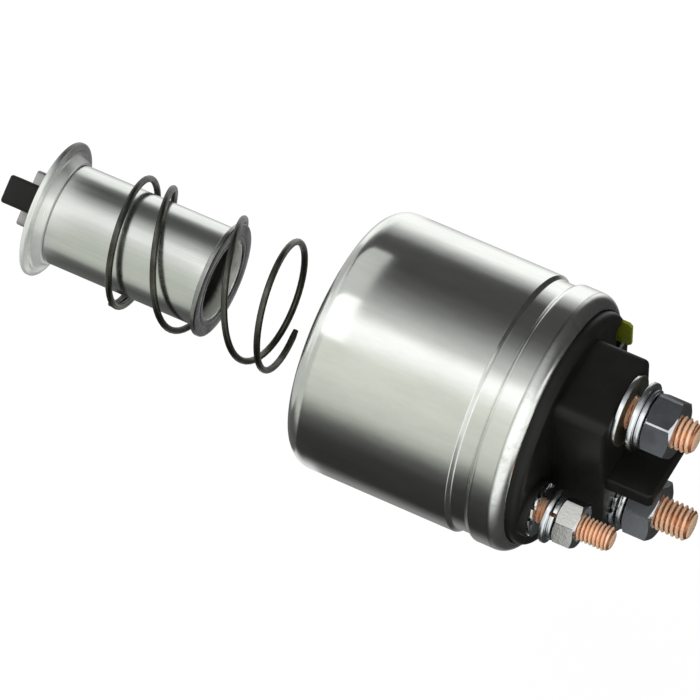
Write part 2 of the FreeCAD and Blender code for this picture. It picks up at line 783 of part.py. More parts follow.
def make_contact():
    """The rod that the plunger pushes, and the bridge that joins the two main studs."""
    collar_end = collar_start + collar_width
    rear = bridge_face - bridge_width - insulator_width
    stem_end = clip_end + stem_end_gap
    item = body("contact_rod")
    turn(item, "turned", [
        (rod_tip, ZERO), (stem_end, ZERO), (stem_end, stem_radius),
        (collar_end, stem_radius), (collar_end, collar_radius),
        (collar_start, collar_radius), (collar_start, rod_radius),
        (rod_tip + stud_bevel, rod_radius), (rod_tip, rod_radius - stud_bevel),
    ])
    bore = stem_radius + press_gap
    hub_end = bridge_face - stop_gap
    rear_insulator = body("rear_insulator")
    turn(rear_insulator, "moulded", [
        (rear, bore), (hub_end, bore), (hub_end, insulator_hub),
        (rear + insulator_width, insulator_hub), (rear + insulator_width, insulator_radius),
        (rear, insulator_radius),
    ])
    bridge = body("contact_bridge")

    half_height = main_stud_height + bridge_overhang

    def bar(sketch):
        rounded_box(sketch, -bridge_half_width, -half_height,
                    bridge_half_width, half_height, bridge_round)
        circle(sketch, ZERO, ZERO, insulator_hub + press_gap)

    extrude(bridge, "bar", bridge_face - bridge_width, bridge_width, bar)
    ring("front_insulator", bridge_face, bridge_face + insulator_width, bore, insulator_radius)
    ring("contact_clip", bridge_face + insulator_width, clip_end, bore, clip_radius)
    even_spring("contact_spring", collar_end, rear, contact_coil_radius, contact_wire_radius,
                contact_turns)
    even_spring("contact_return_spring", clip_end, pocket_roof + well_depth, return_coil_radius,
                return_wire_radius, return_turns)


def make_plunger():
    item = body("plunger")
    shoulder = plunger_end - ring_width
    seat_face = plunger_start + seat_cup_sheet
    groove = rod_end + stop_gap
    turn(item, "turned", [
        (plunger_start, rod_radius + running_gap),
        (plunger_start, seat_spigot),
        (seat_face, seat_spigot),
        (seat_face, plunger_radius),
        (shoulder, plunger_radius),
        (shoulder, ring_spigot),
        (plunger_end, ring_spigot),
        (plunger_end, plunger_bore + plunger_chamfer),
        (plunger_end - plunger_chamfer, plunger_bore),
        (groove + snap_ring_width + press_gap, plunger_bore),
        (groove + snap_ring_width + press_gap, plunger_bore + snap_ring_depth),
        (groove, plunger_bore + snap_ring_depth),
        (groove, plunger_bore),
        (plunger_start + plunger_floor, plunger_bore),
        (plunger_start + plunger_floor, rod_radius + running_gap),
    ])
    ring("plunger_guide_ring", shoulder, plunger_end, ring_spigot + press_gap, ring_radius)
    ring("rod_snap_ring", groove, groove + snap_ring_width, plunger_bore - snap_ring_hold,
         plunger_bore + snap_ring_depth - press_gap)


def make_spring_seat():
    """A cup pressed from sheet: a flat web on the spigot, and a wall that turns outwards."""
    item = body("spring_seat")
    face = plunger_start + seat_cup_sheet
    inner_bend = seat_cup_bend - seat_cup_sheet
    rim = face - seat_cup_length
    turn(item, "pressed", [
        (face, seat_spigot + press_gap),
        (face, seat_cup_radius - seat_cup_bend, seat_cup_bend, 1),
        (face - seat_cup_bend, seat_cup_radius),
        (rim + seat_cup_sheet / 2, seat_cup_radius),
        (rim, seat_cup_radius - seat_cup_sheet / 2),
        (rim, seat_cup_radius - seat_cup_sheet),
        (face - seat_cup_bend, seat_cup_radius - seat_cup_sheet, inner_bend, -1),
        (face - seat_cup_sheet, seat_cup_radius - seat_cup_bend),
        (face - seat_cup_sheet, seat_spigot + press_gap),
    ])


def make_pull_rod():
    """A rod with a square end block, and a cross plate through the slot in the block."""
    item = body("pull_rod")
    turn(item, "shank", [
        (rod_start - link_round, ZERO), (rod_end, ZERO), (rod_end, rod_radius),
        (rod_start - link_round, rod_radius),
    ])
    half = link_block_side / 2
    extrude(item, "end_block", rod_start - link_block_length, link_block_length,
            lambda s: rounded_box(s, -half, -half, half, half, link_round))
    half_slot = link_plate_depth / 2 + press_gap
    slot = sketch_on(item, "slot_outline", "XZ_Plane")
    box_outline(slot, link_plate_start - press_gap, -half_slot,
                link_plate_start + link_plate_width + press_gap, half_slot)
    cut = feature(item, "Pocket", "slot", slot)
    cut.Type = "ThroughAll"
    cut.Midplane = True
    put(item, ZERO, ZERO, link_turn)

    plate = body("link_plate")
    half_span, half_depth = link_plate_span / 2, link_plate_depth / 2
    extrude(plate, "plate", link_plate_start, link_plate_width,
            lambda s: rounded_box(s, -half_span, -half_depth, half_span, half_depth, link_round))
    put(plate, ZERO, ZERO, link_turn)

    ring("rod_head", rod_end - rod_head_width, rod_end, rod_radius + press_gap,
         plunger_bore - rod_head_gap)
    even_spring("meshing_spring", plunger_start + plunger_floor + press_gap,
                rod_end - rod_head_width - press_gap, rod_radius + mesh_clearance,
                mesh_wire_radius, mesh_turns)


def spring_pitch(turns):
    """The pitch after so many turns: closed at the ends, open between, easing from one to the other."""
    opening = (turns - first_closed_turns.value) / pitch_ease.value + 0.5
    closing = (first_closed_turns.value + open_turns.value - turns) / pitch_ease.value + 0.5
    share = min(max(min(opening, closing), 0), 1)
    share = share * share * (3 - 2 * share)
    return closed_pitch.value + share * (open_pitch.value - closed_pitch.value)


def make_return_spring():
    """One round wire whose pitch opens between two closed ends, its turns leaning."""
    total = first_closed_turns.value + open_turns.value + last_closed_turns.value
    step = 1 / RETURN_STEPS

    def rise(done):
        steps = int(round(done / step))
        along = sum(spring_pitch((i + 0.5) * step) * step for i in range(steps))
        return along + spring_lean.value * math.cos(2 * math.pi * done)

    centres = spring_centres((plunger_start + spring_offset).value, coil_radius.value, total,
                             RETURN_STEPS, math.radians(spring_turn.value), rise)
    wire_solid("return_spring", centres, wire_radius, RETURN_SIDES)


def main():
    make_can()
    make_guide_sleeve()
    make_coil()
    make_pole_core()
    make_terminal_cap()
    make_main_stud("battery_stud", 1, battery_nut_start)
    make_main_stud("motor_stud", -1, motor_nut_start)
    make_switch_stud()
    make_spade()
    make_terminal_hardware()
    make_contact()
    make_plunger()
    make_spring_seat()
    make_pull_rod()
    make_return_spring()
    doc.recompute()
    for item in doc.Objects:
        if "Invalid" in item.State or "Error" in item.State:
            raise RuntimeError(item.Name + " failed: " + str(item.State))
    pieces = [o for o in doc.Objects if o.TypeId in ("PartDesign::Body", "Part::Feature")]
    for item in pieces:
        if item.Shape.isNull() or not item.Shape.isValid() or not item.Shape.Solids:
            raise RuntimeError(item.Label + " has no valid solid")
    os.makedirs("parts", exist_ok=True)
    for item in pieces:
        item.Shape.exportStep("parts/" + item.Label + ".step")
        box = item.Shape.BoundBox
        print(item.Label, len(item.Shape.Solids), round(item.Shape.Volume, 1),
              [round(v, 2) for v in (box.XMin, box.XMax, box.YMin, box.YMax, box.ZMin, box.ZMax)])


main()
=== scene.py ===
import bpy
import bmesh
import math
from collections import namedtuple
from contextlib import contextmanager
from mathutils import Matrix, Vector


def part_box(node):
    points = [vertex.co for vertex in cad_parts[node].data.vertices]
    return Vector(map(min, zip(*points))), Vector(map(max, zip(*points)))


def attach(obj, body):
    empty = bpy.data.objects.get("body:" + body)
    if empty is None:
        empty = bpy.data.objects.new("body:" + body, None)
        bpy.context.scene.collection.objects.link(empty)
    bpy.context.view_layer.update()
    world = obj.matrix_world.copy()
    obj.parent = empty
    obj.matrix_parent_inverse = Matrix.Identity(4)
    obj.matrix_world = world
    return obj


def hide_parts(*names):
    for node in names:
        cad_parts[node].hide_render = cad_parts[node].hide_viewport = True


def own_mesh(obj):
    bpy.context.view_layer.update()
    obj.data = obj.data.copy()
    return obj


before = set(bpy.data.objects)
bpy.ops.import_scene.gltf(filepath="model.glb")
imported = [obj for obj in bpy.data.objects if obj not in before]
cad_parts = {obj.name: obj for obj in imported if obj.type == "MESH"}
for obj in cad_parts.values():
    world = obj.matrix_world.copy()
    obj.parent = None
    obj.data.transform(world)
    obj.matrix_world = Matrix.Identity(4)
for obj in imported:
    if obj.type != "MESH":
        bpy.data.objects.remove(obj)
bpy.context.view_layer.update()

# Sizes are in millimetres unless metres are named, and become metres as meshes are made
MM = 0.001
TAU = 2 * math.pi
AXIS = (0, 0)

# Camera: a long lens that looks down on the can from its terminal side. A point of the axis
# lies so far right of the picture's middle and below it.
VIEW_AZIMUTH = math.radians(27.8)
VIEW_ELEVATION = math.radians(54.6)
VIEW_METRES = 2.0
CLIP_METRES = (0.05, 30)
SENSOR = 36.0
IMAGE_SIZE = 700
PIXELS_PER_MM = 4.454
AXIS_POINT = Vector((28.9, 0, 0))
AXIS_POINT_RIGHT = 24.2
AXIS_POINT_DOWN = 7.1
VIEW_RIGHT = Vector((math.cos(VIEW_AZIMUTH), math.sin(VIEW_AZIMUTH), 0))
VIEW_UP = Vector((-math.sin(VIEW_AZIMUTH) * math.sin(VIEW_ELEVATION),
                  math.cos(VIEW_AZIMUTH) * math.sin(VIEW_ELEVATION), math.cos(VIEW_ELEVATION)))
VIEW_BACK = VIEW_RIGHT.cross(VIEW_UP)

# Studio: a pale floor and a white world, and cards round the axis that only reflections see
WORLD_FILL = 0.7
FLOOR_DROP = 115.0
FLOOR_HALF_METRES = 4.0
FLOOR_COLOUR = (0.92, 0.92, 0.92)
FLOOR_GLOW = 1.03
FLOOR_WHITE_SHARE = 0.88
CAMERA_SIDE = math.radians(122.9)
TENT_RADIUS = 100.0
TENT_ENDS = (-400.0, 300.0)
TENT_SIDES = 96
TENT_LEVEL = 1.35
CARD_RADIUS = 50.0
CARD_ENDS = (-27.0, 3.0)
CARD_STEPS = 16
# Cards close over the can's front corner: degrees from the camera's side, and level
FRONT_CARDS = {"white_card": (-5, 22, 1.4), "grey_card": (22, 58, 0.62)}
# Lamps: place, aim and side in metres, and power in watts
LAMPS = {
    "key": ((-0.5, -0.3, 1.3), (0, 0, 0), 1.2, 9.0),
    "fill": ((1.2, -0.9, 0.6), (0.05, 0, 0), 1.0, 4.0),
}


def warm(grey):
    return (grey * 0.98, grey, grey * 0.93)


# The tent's cards as (place, grey): 0.5 is the camera's side, 0 and 1 are away from it, under
# the can
NEAR_CARDS = [(0.272, 0.03), (0.311, 0.08), (0.329, warm(0.19)), (0.345, warm(0.35)),
              (0.361, warm(0.47)), (0.375, warm(0.53)), (0.40, warm(0.55)), (0.446, warm(0.59)),
              (0.475, warm(0.63)), (0.505, 0.90), (0.53, 0.98), (0.554, 0.50), (0.582, 0.34),
              (0.611, 0.16), (0.64, 0.075), (0.675, 0.05), (0.745, 0.055), (0.775, 0.38),
              (0.81, 0.88), (0.87, 0.88)]
BODY_CARDS = [(0.00, 0.25), (0.12, 0.20), (0.17, 0.022), *NEAR_CARDS, (0.93, 0.30), (1.00, 0.25)]
FRONT_END_CARDS = [(0.00, 0.70), (0.12, 0.60), (0.17, 0.03), *NEAR_CARDS, (0.93, 0.60),
                   (1.00, 0.70)]
PLUNGER_CARDS = [(0.00, 0.25), (0.064, 0.10), (0.20, 0.065), (0.235, 0.11), (0.262, warm(0.33)),
                 (0.291, warm(0.43)), (0.436, warm(0.46)), (0.50, 0.57), (0.53, 0.72),
                 (0.565, 0.75), (0.595, 0.52), (0.623, 0.33), (0.671, 0.085), (0.729, 0.06),
                 (0.765, 0.14), (0.80, 0.74), (0.87, 0.88), (0.93, 0.40), (1.00, 0.25)]
FAR_CARDS = [(0.00, 0.40), (0.35, 0.45), (0.50, 0.85), (0.62, 0.60), (0.75, 0.36), (1.00, 0.40)]
LIP_CARDS = [(0.00, 0.03), (0.20, 0.04), (0.24, 0.12), (0.28, 0.45), (0.31, 0.72), (0.38, 0.76),
             (0.44, 0.92), (0.52, 0.92), (0.56, 0.46), (0.625, 0.18), (0.66, 0.06), (0.72, 0.04),
             (0.99, 0.03)]
# Where one set of cards gives way to the next along the axis
CARD_ZONES = [(-122, -106, PLUNGER_CARDS), (-42, -38, FRONT_END_CARDS), (-19, -16, BODY_CARDS),
              (38, 62, LIP_CARDS)]

# Worn metals: colour, stain, range of roughness, grain, scratches and how they run, ripple
CAN_PLATE = ((0.82, 0.84, 0.80), (0.77, 0.79, 0.75), (0.12, 0.22), 28, 160, (0.25, 1, 1), 0.00006)
BRIGHT_STEEL = ((0.83, 0.86, 0.82), (0.76, 0.79, 0.75), (0.12, 0.24), 60, 420, (0.03, 1, 1),
                0.00003)
# Metals: material name, colour, worn colour, range of roughness, metallic
METALS = {
    "zinc": ("zinc_hardware", (0.80, 0.82, 0.84), (0.66, 0.69, 0.70), (0.12, 0.26), 1.0),
    # Nut flats: copies of the zinc, darker as painted shade or white as a painted highlight
    "nut": ("nut_steel", (0.085, 0.092, 0.102), (0.06, 0.064, 0.068), (0.2, 0.34), 0.55),
    "pale_nut": ("nut_flats_painted_half_shade", (0.24, 0.26, 0.275), (0.19, 0.20, 0.205), (0.2, 0.34), 0.45),
    "bright_nut": ("nut_flats_painted_highlight", (0.98, 0.99, 0.93), (0.90, 0.91, 0.86), (0.10, 0.2), 1.0),
    # Flat faces of the battery seat washer: a darker colour
    "stained": ("dark_faced_plate", (0.10, 0.10, 0.055), (0.03, 0.03, 0.02), (0.3, 0.5), 0.5),
    # A darker copper, as painted shade in the thread's valleys
    "roots": ("copper_root_painted_shade", (0.50, 0.21, 0.10), (0.28, 0.10, 0.045), (0.3, 0.5), 0.7),
    "spring": ("spring_wire", (0.11, 0.11, 0.095), (0.05, 0.05, 0.042), (0.26, 0.42), 1.0),
    "ring": ("ring_steel", (0.46, 0.47, 0.45), (0.33, 0.34, 0.32), (0.2, 0.36), 1.0),
    # Faces towards the terminal end: a darker copy of the ring steel, as painted shade
    "end_face_painted_shade": ("end_face_painted_shade", (0.17, 0.178, 0.175), (0.10, 0.105, 0.10), (0.2, 0.36), 1.0),
    "dull": ("dull_steel", (0.38, 0.38, 0.37), (0.25, 0.25, 0.24), (0.3, 0.48), 1.0),
    "iron": ("soft_iron", (0.55, 0.54, 0.52), (0.40, 0.39, 0.37), (0.25, 0.45), 1.0),
    "brass": ("drawn_brass", (0.80, 0.62, 0.30), (0.62, 0.45, 0.20), (0.16, 0.32), 1.0),
}
# Plastics, rubber and paint-like finishes: material name, two colours, roughness, specular level
STUFFS = {
    # A paler black, as a painted highlight on edges
    "painted_highlight_edge": ("painted_highlight_edge", (0.09, 0.09, 0.085), (0.16, 0.16, 0.15), (0.3, 0.4), 0.5),
    "olive": ("olive_plate", (0.21, 0.24, 0.012), (0.15, 0.175, 0.008), (0.3, 0.42), 0.5),
    "blackened": ("blackened_steel", (0.005, 0.005, 0.005), (0.014, 0.013, 0.012), (0.36, 0.55),
                  0.25),
    "nylon": ("nylon", (0.70, 0.66, 0.52), (0.60, 0.56, 0.43), (0.35, 0.5), 0.5),
    "rubber": ("gasket_rubber", (0.02, 0.02, 0.02), (0.035, 0.035, 0.034), (0.6, 0.75), 0.5),
}

# Can: a drawn neck, an edge rolled over the cap, and holes in its front
NECK_START = 42.6
NECK_END = 46.3
NECK_RADIUS = 30.2
NECK_BEVEL = 0.8
NECK_RISE = 1.1
RIM_RUN = 3.3
RIM_DROP = 2.3
BEND_START = 52.1
BEND_STEPS = 16
DARK_BAND_BEFORE_BEND = 1.0
DARK_BAND_AFTER_BEND = 2.0
LIP_INNER = 28.2
LIP_THICKNESS = 1.2
SEAT_RADIUS = 29.2
PLATE_START = 41.0
INNER_RADIUS = 28.8
FRONT_WALL = 4.0
FRONT_CORNER = 5.5
BORE_EDGE = 14.55
SLEEVE_SEAT = 16.9
SLEEVE_RECESS = 1.0
SLEEVE_BORE = 13.87
SLEEVE_WALL = 0.6
HOLE_COUNT = 3
HOLE_CIRCLE = 23.0
HOLE_RADIUS = 2.1
HOLE_SINK = 1.4
HOLE_SINK_DEPTH = 0.45

# Terminal cap: a round base, a hollow block with a barrier wall, a boss and a notch
CAP_BASE = 58.2
CAP_BASE_WALL = 2.0
CAP_SKIRT = 7.15
CAP_NECK = 28.1
CAP_CHAMBER = 26.2
CAP_ROUND = 2.4
BLOCK_HALF = (11.5, 23.0)
BLOCK_TOP = 71.0
BLOCK_CORNER = 2.6
BLOCK_WALL = 1.7
BLOCK_ROOF = 8.0
BARRIER_HALF = 9.5
BARRIER_HALF_THICKNESS = 2.0
BARRIER_CORNER = 1.4
BOSS_RADIUS = 6.9
BOSS_TOP = 59.9
NOTCH_DEPTH = 3.8
NOTCH_INWARD = 3.4
NOTCH_OUTWARD = 0.8
NOTCH_MARGIN = 0.6
NOTCH_FLARE = 1.2
OVERLAP = 0.2
OVERCUT = 1.0
# The part of the base whose edges get a painted highlight, a paler colour, from here outwards
HIGHLIGHT_EDGE_FROM = (12, 2)

# Studs: place, radius, cap face, thread's start and pitch, width across the nut's flats, and
# radius of the spring washer and of the lock washer
Stud = namedtuple("Stud", "place radius face thread_start pitch flats coil_radius teeth_radius")
MAIN = (4.0, BLOCK_TOP, 71.6, 1.25, 13.0, 7.0, 8.6)
STUDS = {
    "battery": Stud((0, 17.0), *MAIN),
    "motor": Stud((0, -17.0), *MAIN),
    "switch": Stud((-20.5, -3.0), 3.0, BOSS_TOP, 60.2, 1.0, 10.0, 5.4, 6.4),
}
STUD_GAP = 0.1
THREAD_SIDES = 72
ROWS_PER_PITCH = 12
THREAD_DEPTH = 0.6
THREAD_FULLNESS = 0.8
# Share of the thread's depth past which faces take the painted shade
ROOT_SHADE_FROM = 0.78
TIP_BEVEL = 1.0
TIP_SLOPE = 0.95
TIP_DISH = 0.12
SHANK_UNDERCUT = 0.05
SHANK_LAP = 0.1
HEAD_THICKNESS = 4.0
SWITCH_HEAD_RADIUS = 5.0
SWITCH_HEAD_THICKNESS = 2.5

# Nuts and washers
NUT_STEPS = 16
NUT_FACE_SHARE = 0.955
NUT_CONE = math.tan(math.radians(30))
NUT_SINK = 0.5
NUT_LEAST_DROP = 0.02
WASHER_GAP = 0.15
COIL_LEAD = 0.25
COIL_SWEEP = math.radians(350)
COIL_STEPS = 80
TEETH = 14
TOOTH_STEPS = 12
TOOTH_SHARE = 0.72
TOOTH_DEPTH = 1.3
TOOTH_THICKNESS_SHARE = 0.55

# Plunger: hollow and bright, with spigots for the spring seat and the guide ring
PLUNGER_BORE = 9.6
PLUNGER_FLOOR = 5.5
ROD_HOLE = 3.07
SEAT_SPIGOT = 10.5
RING_SPIGOT = 11.0
RING_SPIGOT_LENGTH = 1.3
SEAT_SPIGOT_LENGTH = 0.35
SEAT_JOINT = 0.25
SEAT_JOINT_DEPTH = 0.7
# Spring seat: its sheet, its flange, and the bead raised on the flange
SEAT_SHEET = 1.2
SEAT_FLANGE = 1.3
SEAT_BEAD = 0.45
SEAT_FOOT = 12.5
SEAT_RISE = 15.1

# Return spring: the wire line of the CAD solid, drawn smoothly
SPRING_START = -55.1
SPRING_ANGLE = math.radians(212.9)
COIL_RADIUS = 14.85
WIRE_RADIUS = 0.78
CLOSED_PITCH = 1.6
OPEN_PITCH = 18.2
FIRST_CLOSED = 1.25
OPEN_TURNS = 2.0
LAST_CLOSED = 0.95
PITCH_EASE = 0.5
SPRING_LEAN = 1.7
SPRING_STEPS = 48
SMALL_SPRING_STEPS = 32

# Pull rod: its end block and cross plate are turned about the axis
LINK_TURN = math.radians(32.9)
ROD_RADIUS = 3.0
ROD_BLOCK_HALF = 3.4
ROD_BLOCK_LENGTH = 9.0
PLATE_HALF = (6.65, 2.0)
PLATE_GAP = 0.05


# Node helpers
def new_node(tree, kind, inputs=(), **settings):
    """A node with its settings, and with a value or a link in each named input."""
    node = tree.nodes.new("ShaderNode" + kind)
    for name, value in settings.items():
        setattr(node, name, value)
    for name, value in dict(inputs).items():
        plug(tree, value, node.inputs[name])
    return node


def plug(tree, value, socket):
    """Set a socket to a number or a colour, or link another node's output to it."""
    if isinstance(value, (int, float)):
        socket.default_value = value
    elif isinstance(value, tuple):
        socket.default_value = (*value, 1)
    else:
        tree.links.new(value, socket)


def math_node(tree, operation, *values):
    return new_node(tree, "Math", enumerate(values), operation=operation).outputs[0]


def seen_directly(tree):
    """1 where the ray is a camera, glossy or transmission ray, else 0."""
    path = new_node(tree, "LightPath")
    shown = math_node(tree, "ADD", path.outputs["Is Camera Ray"], path.outputs["Is Glossy Ray"])
    shown = math_node(tree, "ADD", shown, path.outputs["Is Transmission Ray"])
    return math_node(tree, "MINIMUM", shown, 1.0)


def ramp(tree, value, stops):
    """A colour ramp; stops are (place, grey) or (place, (r, g, b))."""
    node = new_node(tree, "ValToRGB", {0: value})
    elements = node.color_ramp.elements
    while len(elements) < len(stops):
        elements.new(0.5)
    for element, (place, shade) in zip(elements, stops):
        element.position = place
        element.color = (shade, shade, shade, 1) if isinstance(shade, float) else (*shade, 1)
    return node.outputs[0]


def coordinates(tree, scale=(1, 1, 1)):
    place = new_node(tree, "TexCoord").outputs["Object"]
    mapping = new_node(tree, "Mapping", {"Vector": place})
    mapping.inputs["Scale"].default_value = scale
    return mapping.outputs["Vector"]


def places(tree):
    """Where a point lies along X, Y and Z, in metres."""
    return new_node(tree, "SeparateXYZ", {0: coordinates(tree)}).outputs


def noise(tree, scale, detail=4.0, roughness=0.55, stretch=(1, 1, 1)):
    inputs = {"Scale": scale, "Detail": detail, "Roughness": roughness,
              "Vector": coordinates(tree, stretch)}
    return new_node(tree, "TexNoise", inputs).outputs["Fac"]


def mix_colours(tree, share, first, second, blend="MIX"):
    """Blend two colours: inputs 6 and 7 and output 2 are the Mix node's colour sockets."""
    inputs = {"Factor": share, 6: first, 7: second}
    return new_node(tree, "Mix", inputs, data_type="RGBA", blend_type=blend).outputs[2]


def map_range(tree, value, side, low, high, kind="LINEAR"):
    """Map a value; low to high is its From or its To side, and the other side is 0 to 1."""
    inputs = {"Value": value, side + " Min": low, side + " Max": high}
    return new_node(tree, "MapRange", inputs, interpolation_type=kind).outputs["Result"]


def spread(tree, value, low, high):
    """Map a 0 to 1 texture onto low to high."""
    return map_range(tree, value, "To", low, high)


def zone(tree, along, start, end):
    """0 before start and 1 past end, both in millimetres, with a soft change between."""
    return map_range(tree, along, "From", start * MM, end * MM, "SMOOTHSTEP")


def bump(tree, height, distance, strength=1.0, under=None):
    inputs = {"Distance": distance, "Strength": strength, "Height": height}
    if under is not None:
        inputs["Normal"] = under
    return new_node(tree, "Bump", inputs).outputs["Normal"]


# Materials
def make_material(name, metallic, paint, *values, specular=0.5):
    """A material; paint gives its colour, roughness and normal, and may give how metallic it is."""
    material = bpy.data.materials.new(name)
    material.use_nodes = True
    tree = material.node_tree
    shader = tree.nodes["Principled BSDF"]
    shader.inputs["Metallic"].default_value = metallic
    shader.inputs["Specular IOR Level"].default_value = specular
    sockets = ("Base Color", "Roughness", "Normal", "Metallic")
    for socket, value in zip(sockets, paint(tree, *values)):
        plug(tree, value, shader.inputs[socket])
    return material


def worn_metal(tree, colour, stain, rough, grain, scratch, stretch, ripple):
    """Metal with a broad stain, streaks along one way, and a slight ripple in its reflections."""
    stains = ramp(tree, noise(tree, grain, detail=5.0), [(0.38, 0.0), (0.72, 1.0)])
    streaks = noise(tree, scratch, detail=6.0, roughness=0.7, stretch=stretch)
    tinted = mix_colours(tree, stains, colour, stain)
    lines = ramp(tree, streaks, [(0.35, 0.86), (0.62, 1.0)])
    toned = mix_colours(tree, 0.7, tinted, lines, "MULTIPLY")
    waves = bump(tree, noise(tree, grain * 3, detail=2.0), ripple)
    return toned, spread(tree, streaks, *rough), bump(tree, streaks, ripple / 8, under=waves)


def rolled_rim(tree):
    """The can's rolled edge: rubbed and dented plate, with a broken darker band where the bend
    starts.
    """
    blotches = noise(tree, 330, roughness=0.6)
    dark = ramp(tree, blotches, [(0.30, 0.0), (0.50, 1.0)])
    colour = mix_colours(tree, dark, (0.70, 0.72, 0.68), (0.88, 0.90, 0.86))
    place = map_range(tree, places(tree)["X"], "From", (BEND_START - DARK_BAND_BEFORE_BEND) * MM,
                      (BEND_START + DARK_BAND_AFTER_BEND) * MM)
    # A broken darker band in the colour, just before and after the start of the bend.
    groove = ramp(tree, place, [(0.16, 0.0), (0.30, 0.75), (0.42, 0.75), (0.60, 0.0)])
    broken = math_node(tree, "MULTIPLY", groove, spread(tree, noise(tree, 120), 0.2, 1.5))
    colour = mix_colours(tree, broken, colour, (0.30, 0.31, 0.28))
    return colour, spread(tree, blotches, 0.30, 0.16), bump(tree, blotches, 0.00004, 0.7)


def black_moulding(tree):
    dust = ramp(tree, noise(tree, 60, detail=6.0), [(0.45, 0.0), (0.75, 1.0)])
    colour = mix_colours(tree, dust, (0.0075, 0.0078, 0.0070), (0.014, 0.0142, 0.013))
    grain = noise(tree, 900, detail=3.0)
    return colour, spread(tree, dust, 0.36, 0.5), bump(tree, grain, 0.00006, 0.5)


def copper_threads(tree):
    tarnish = ramp(tree, noise(tree, 320, detail=5.0), [(0.42, 0.0), (0.68, 1.0)])
    colour = mix_colours(tree, tarnish, (1.0, 0.74, 0.52), (0.94, 0.52, 0.31))
    return colour, spread(tree, tarnish, 0.2, 0.36), bump(tree, noise(tree, 1500), 0.00005)


def plain_metal(tree, colour, worn, rough):
    """Metal with worn patches of a second colour and uneven gloss."""
    patches = ramp(tree, noise(tree, 240, detail=5.0), [(0.40, 0.0), (0.70, 1.0)])
    return (mix_colours(tree, patches, colour, worn), spread(tree, patches, *rough),
            bump(tree, noise(tree, 1440, detail=3.0), 0.00003))


def plain_stuff(tree, colour, shade, rough):
    """Plastic, rubber or a dull coat with a faint two-tone mottle and a fine grain."""
    patches = noise(tree, 300)
    return (mix_colours(tree, patches, colour, shade), spread(tree, patches, *rough),
            bump(tree, noise(tree, 1200), 0.00004))


def satin_steel_shaded_top(tree):
    """Pressed steel with a soft, pale plate that spreads the light, and painted shade on its upper
    side: darker colour and more metallic towards the top.
    """
    clouds = noise(tree, 90, detail=5.0)
    colour = mix_colours(tree, clouds, (0.70, 0.72, 0.69), (0.84, 0.86, 0.82))
    part = places(tree)
    height = math_node(tree, "ADD", math_node(tree, "MULTIPLY", part["Y"], 0.84),
                       math_node(tree, "MULTIPLY", part["Z"], 0.543))
    # Painted shade: the colour turns dark grey and the steel more metallic towards the top.
    painted_shade_top = zone(tree, math_node(tree, "ADD", height, spread(tree, clouds, -0.003, 0.003)), 4, 15)
    rings = noise(tree, 420, stretch=(3, 0.2, 0.2))
    return (mix_colours(tree, painted_shade_top, colour, (0.10, 0.103, 0.10)), spread(tree, rings, 0.16, 0.32),
            bump(tree, clouds, 0.00006), spread(tree, painted_shade_top, 0.45, 0.9))


def bore_painted_shade(tree):
    """The plunger's bore: bright at its mouth, with painted shade that turns it black further in.
    """
    blotch_noise = noise(tree, 220)
    along = math_node(tree, "ADD", places(tree)["X"], spread(tree, blotch_noise, -0.0009, 0.0009))
    clear_of_shade = zone(tree, along, -35.0, -33.2)
    # Painted shade: near-black colour deep in the bore, bright steel at its mouth.
    colour = mix_colours(tree, clear_of_shade, (0.045, 0.046, 0.038), (0.90, 0.92, 0.87))
    return colour, spread(tree, blotch_noise, 0.14, 0.34), bump(tree, blotch_noise, 0.00008)


def wound_wire(tree):
    """Turns of enamelled copper wire, as rings about the axis."""
    turns = math_node(tree, "SINE", math_node(tree, "MULTIPLY", places(tree)["X"], 7000.0))
    colour = mix_colours(tree, turns, (0.35, 0.11, 0.04), (0.62, 0.24, 0.10))
    return colour, 0.3, bump(tree, turns, 0.0003)


def make_materials():
    made = {
        "can": make_material("plated_can", 1.0, worn_metal, *CAN_PLATE),
        "bright": make_material("bright_steel", 1.0, worn_metal, *BRIGHT_STEEL),
        "rim": make_material("rolled_rim", 1.0, rolled_rim),
        "copper": make_material("copper_threads", 0.35, copper_threads),
        "black": make_material("black_moulding", 0.0, black_moulding, specular=0.22),
        "satin": make_material("satin_steel_shaded_top", 0.9, satin_steel_shaded_top),
        "bore": make_material("bore_painted_shade", 0.6, bore_painted_shade),
        "wire": make_material("wound_wire", 0.7, wound_wire),
    }
    for look, (name, *paint, metallic) in METALS.items():
        made[look] = make_material(name, metallic, plain_metal, *paint)
    for look, (name, *paint, specular) in STUFFS.items():
        made[look] = make_material(name, 0.0, plain_stuff, *paint, specular=specular)
    return made


# Mesh helpers
def new_mesh(name, points, faces, material, sharp=None):
    mesh = bpy.data.meshes.new(name)
    mesh.from_pydata([tuple(p) for p in points], [], faces)
    mesh.validate()
    mesh.update()
    mesh.materials.append(material)
    item = bpy.data.objects.new(name, mesh)
    bpy.context.scene.collection.objects.link(item)
    if sharp is not None:
        smooth(item, sharp)
    return item


@contextmanager
def reshaping(item):
    """Open the item's mesh for changes, and write it back after them."""
    shaped = bmesh.new()
    shaped.from_mesh(item.data)
    yield shaped
    shaped.to_mesh(item.data)
    shaped.free()


def smooth(item, sharp=35):
    """Smooth shading that breaks at edges sharper than so many degrees."""
    with reshaping(item) as shaped:
        bmesh.ops.recalc_face_normals(shaped, faces=shaped.faces)
    item.data.shade_smooth()
    item.data.set_sharp_from_angle(angle=math.radians(sharp))


def bevel_edges(item, offset, steps=3, sharp=30, clamp=True):
    """Bevel the edges that are sharper than so many degrees."""
    with reshaping(item) as shaped:
        bmesh.ops.recalc_face_normals(shaped, faces=shaped.faces)
        edges = [e for e in shaped.edges if e.calc_face_angle(0) > math.radians(sharp)]
        bmesh.ops.bevel(shaped, geom=edges, offset=offset * MM, segments=steps, profile=0.5,
                        affect="EDGES", clamp_overlap=clamp)


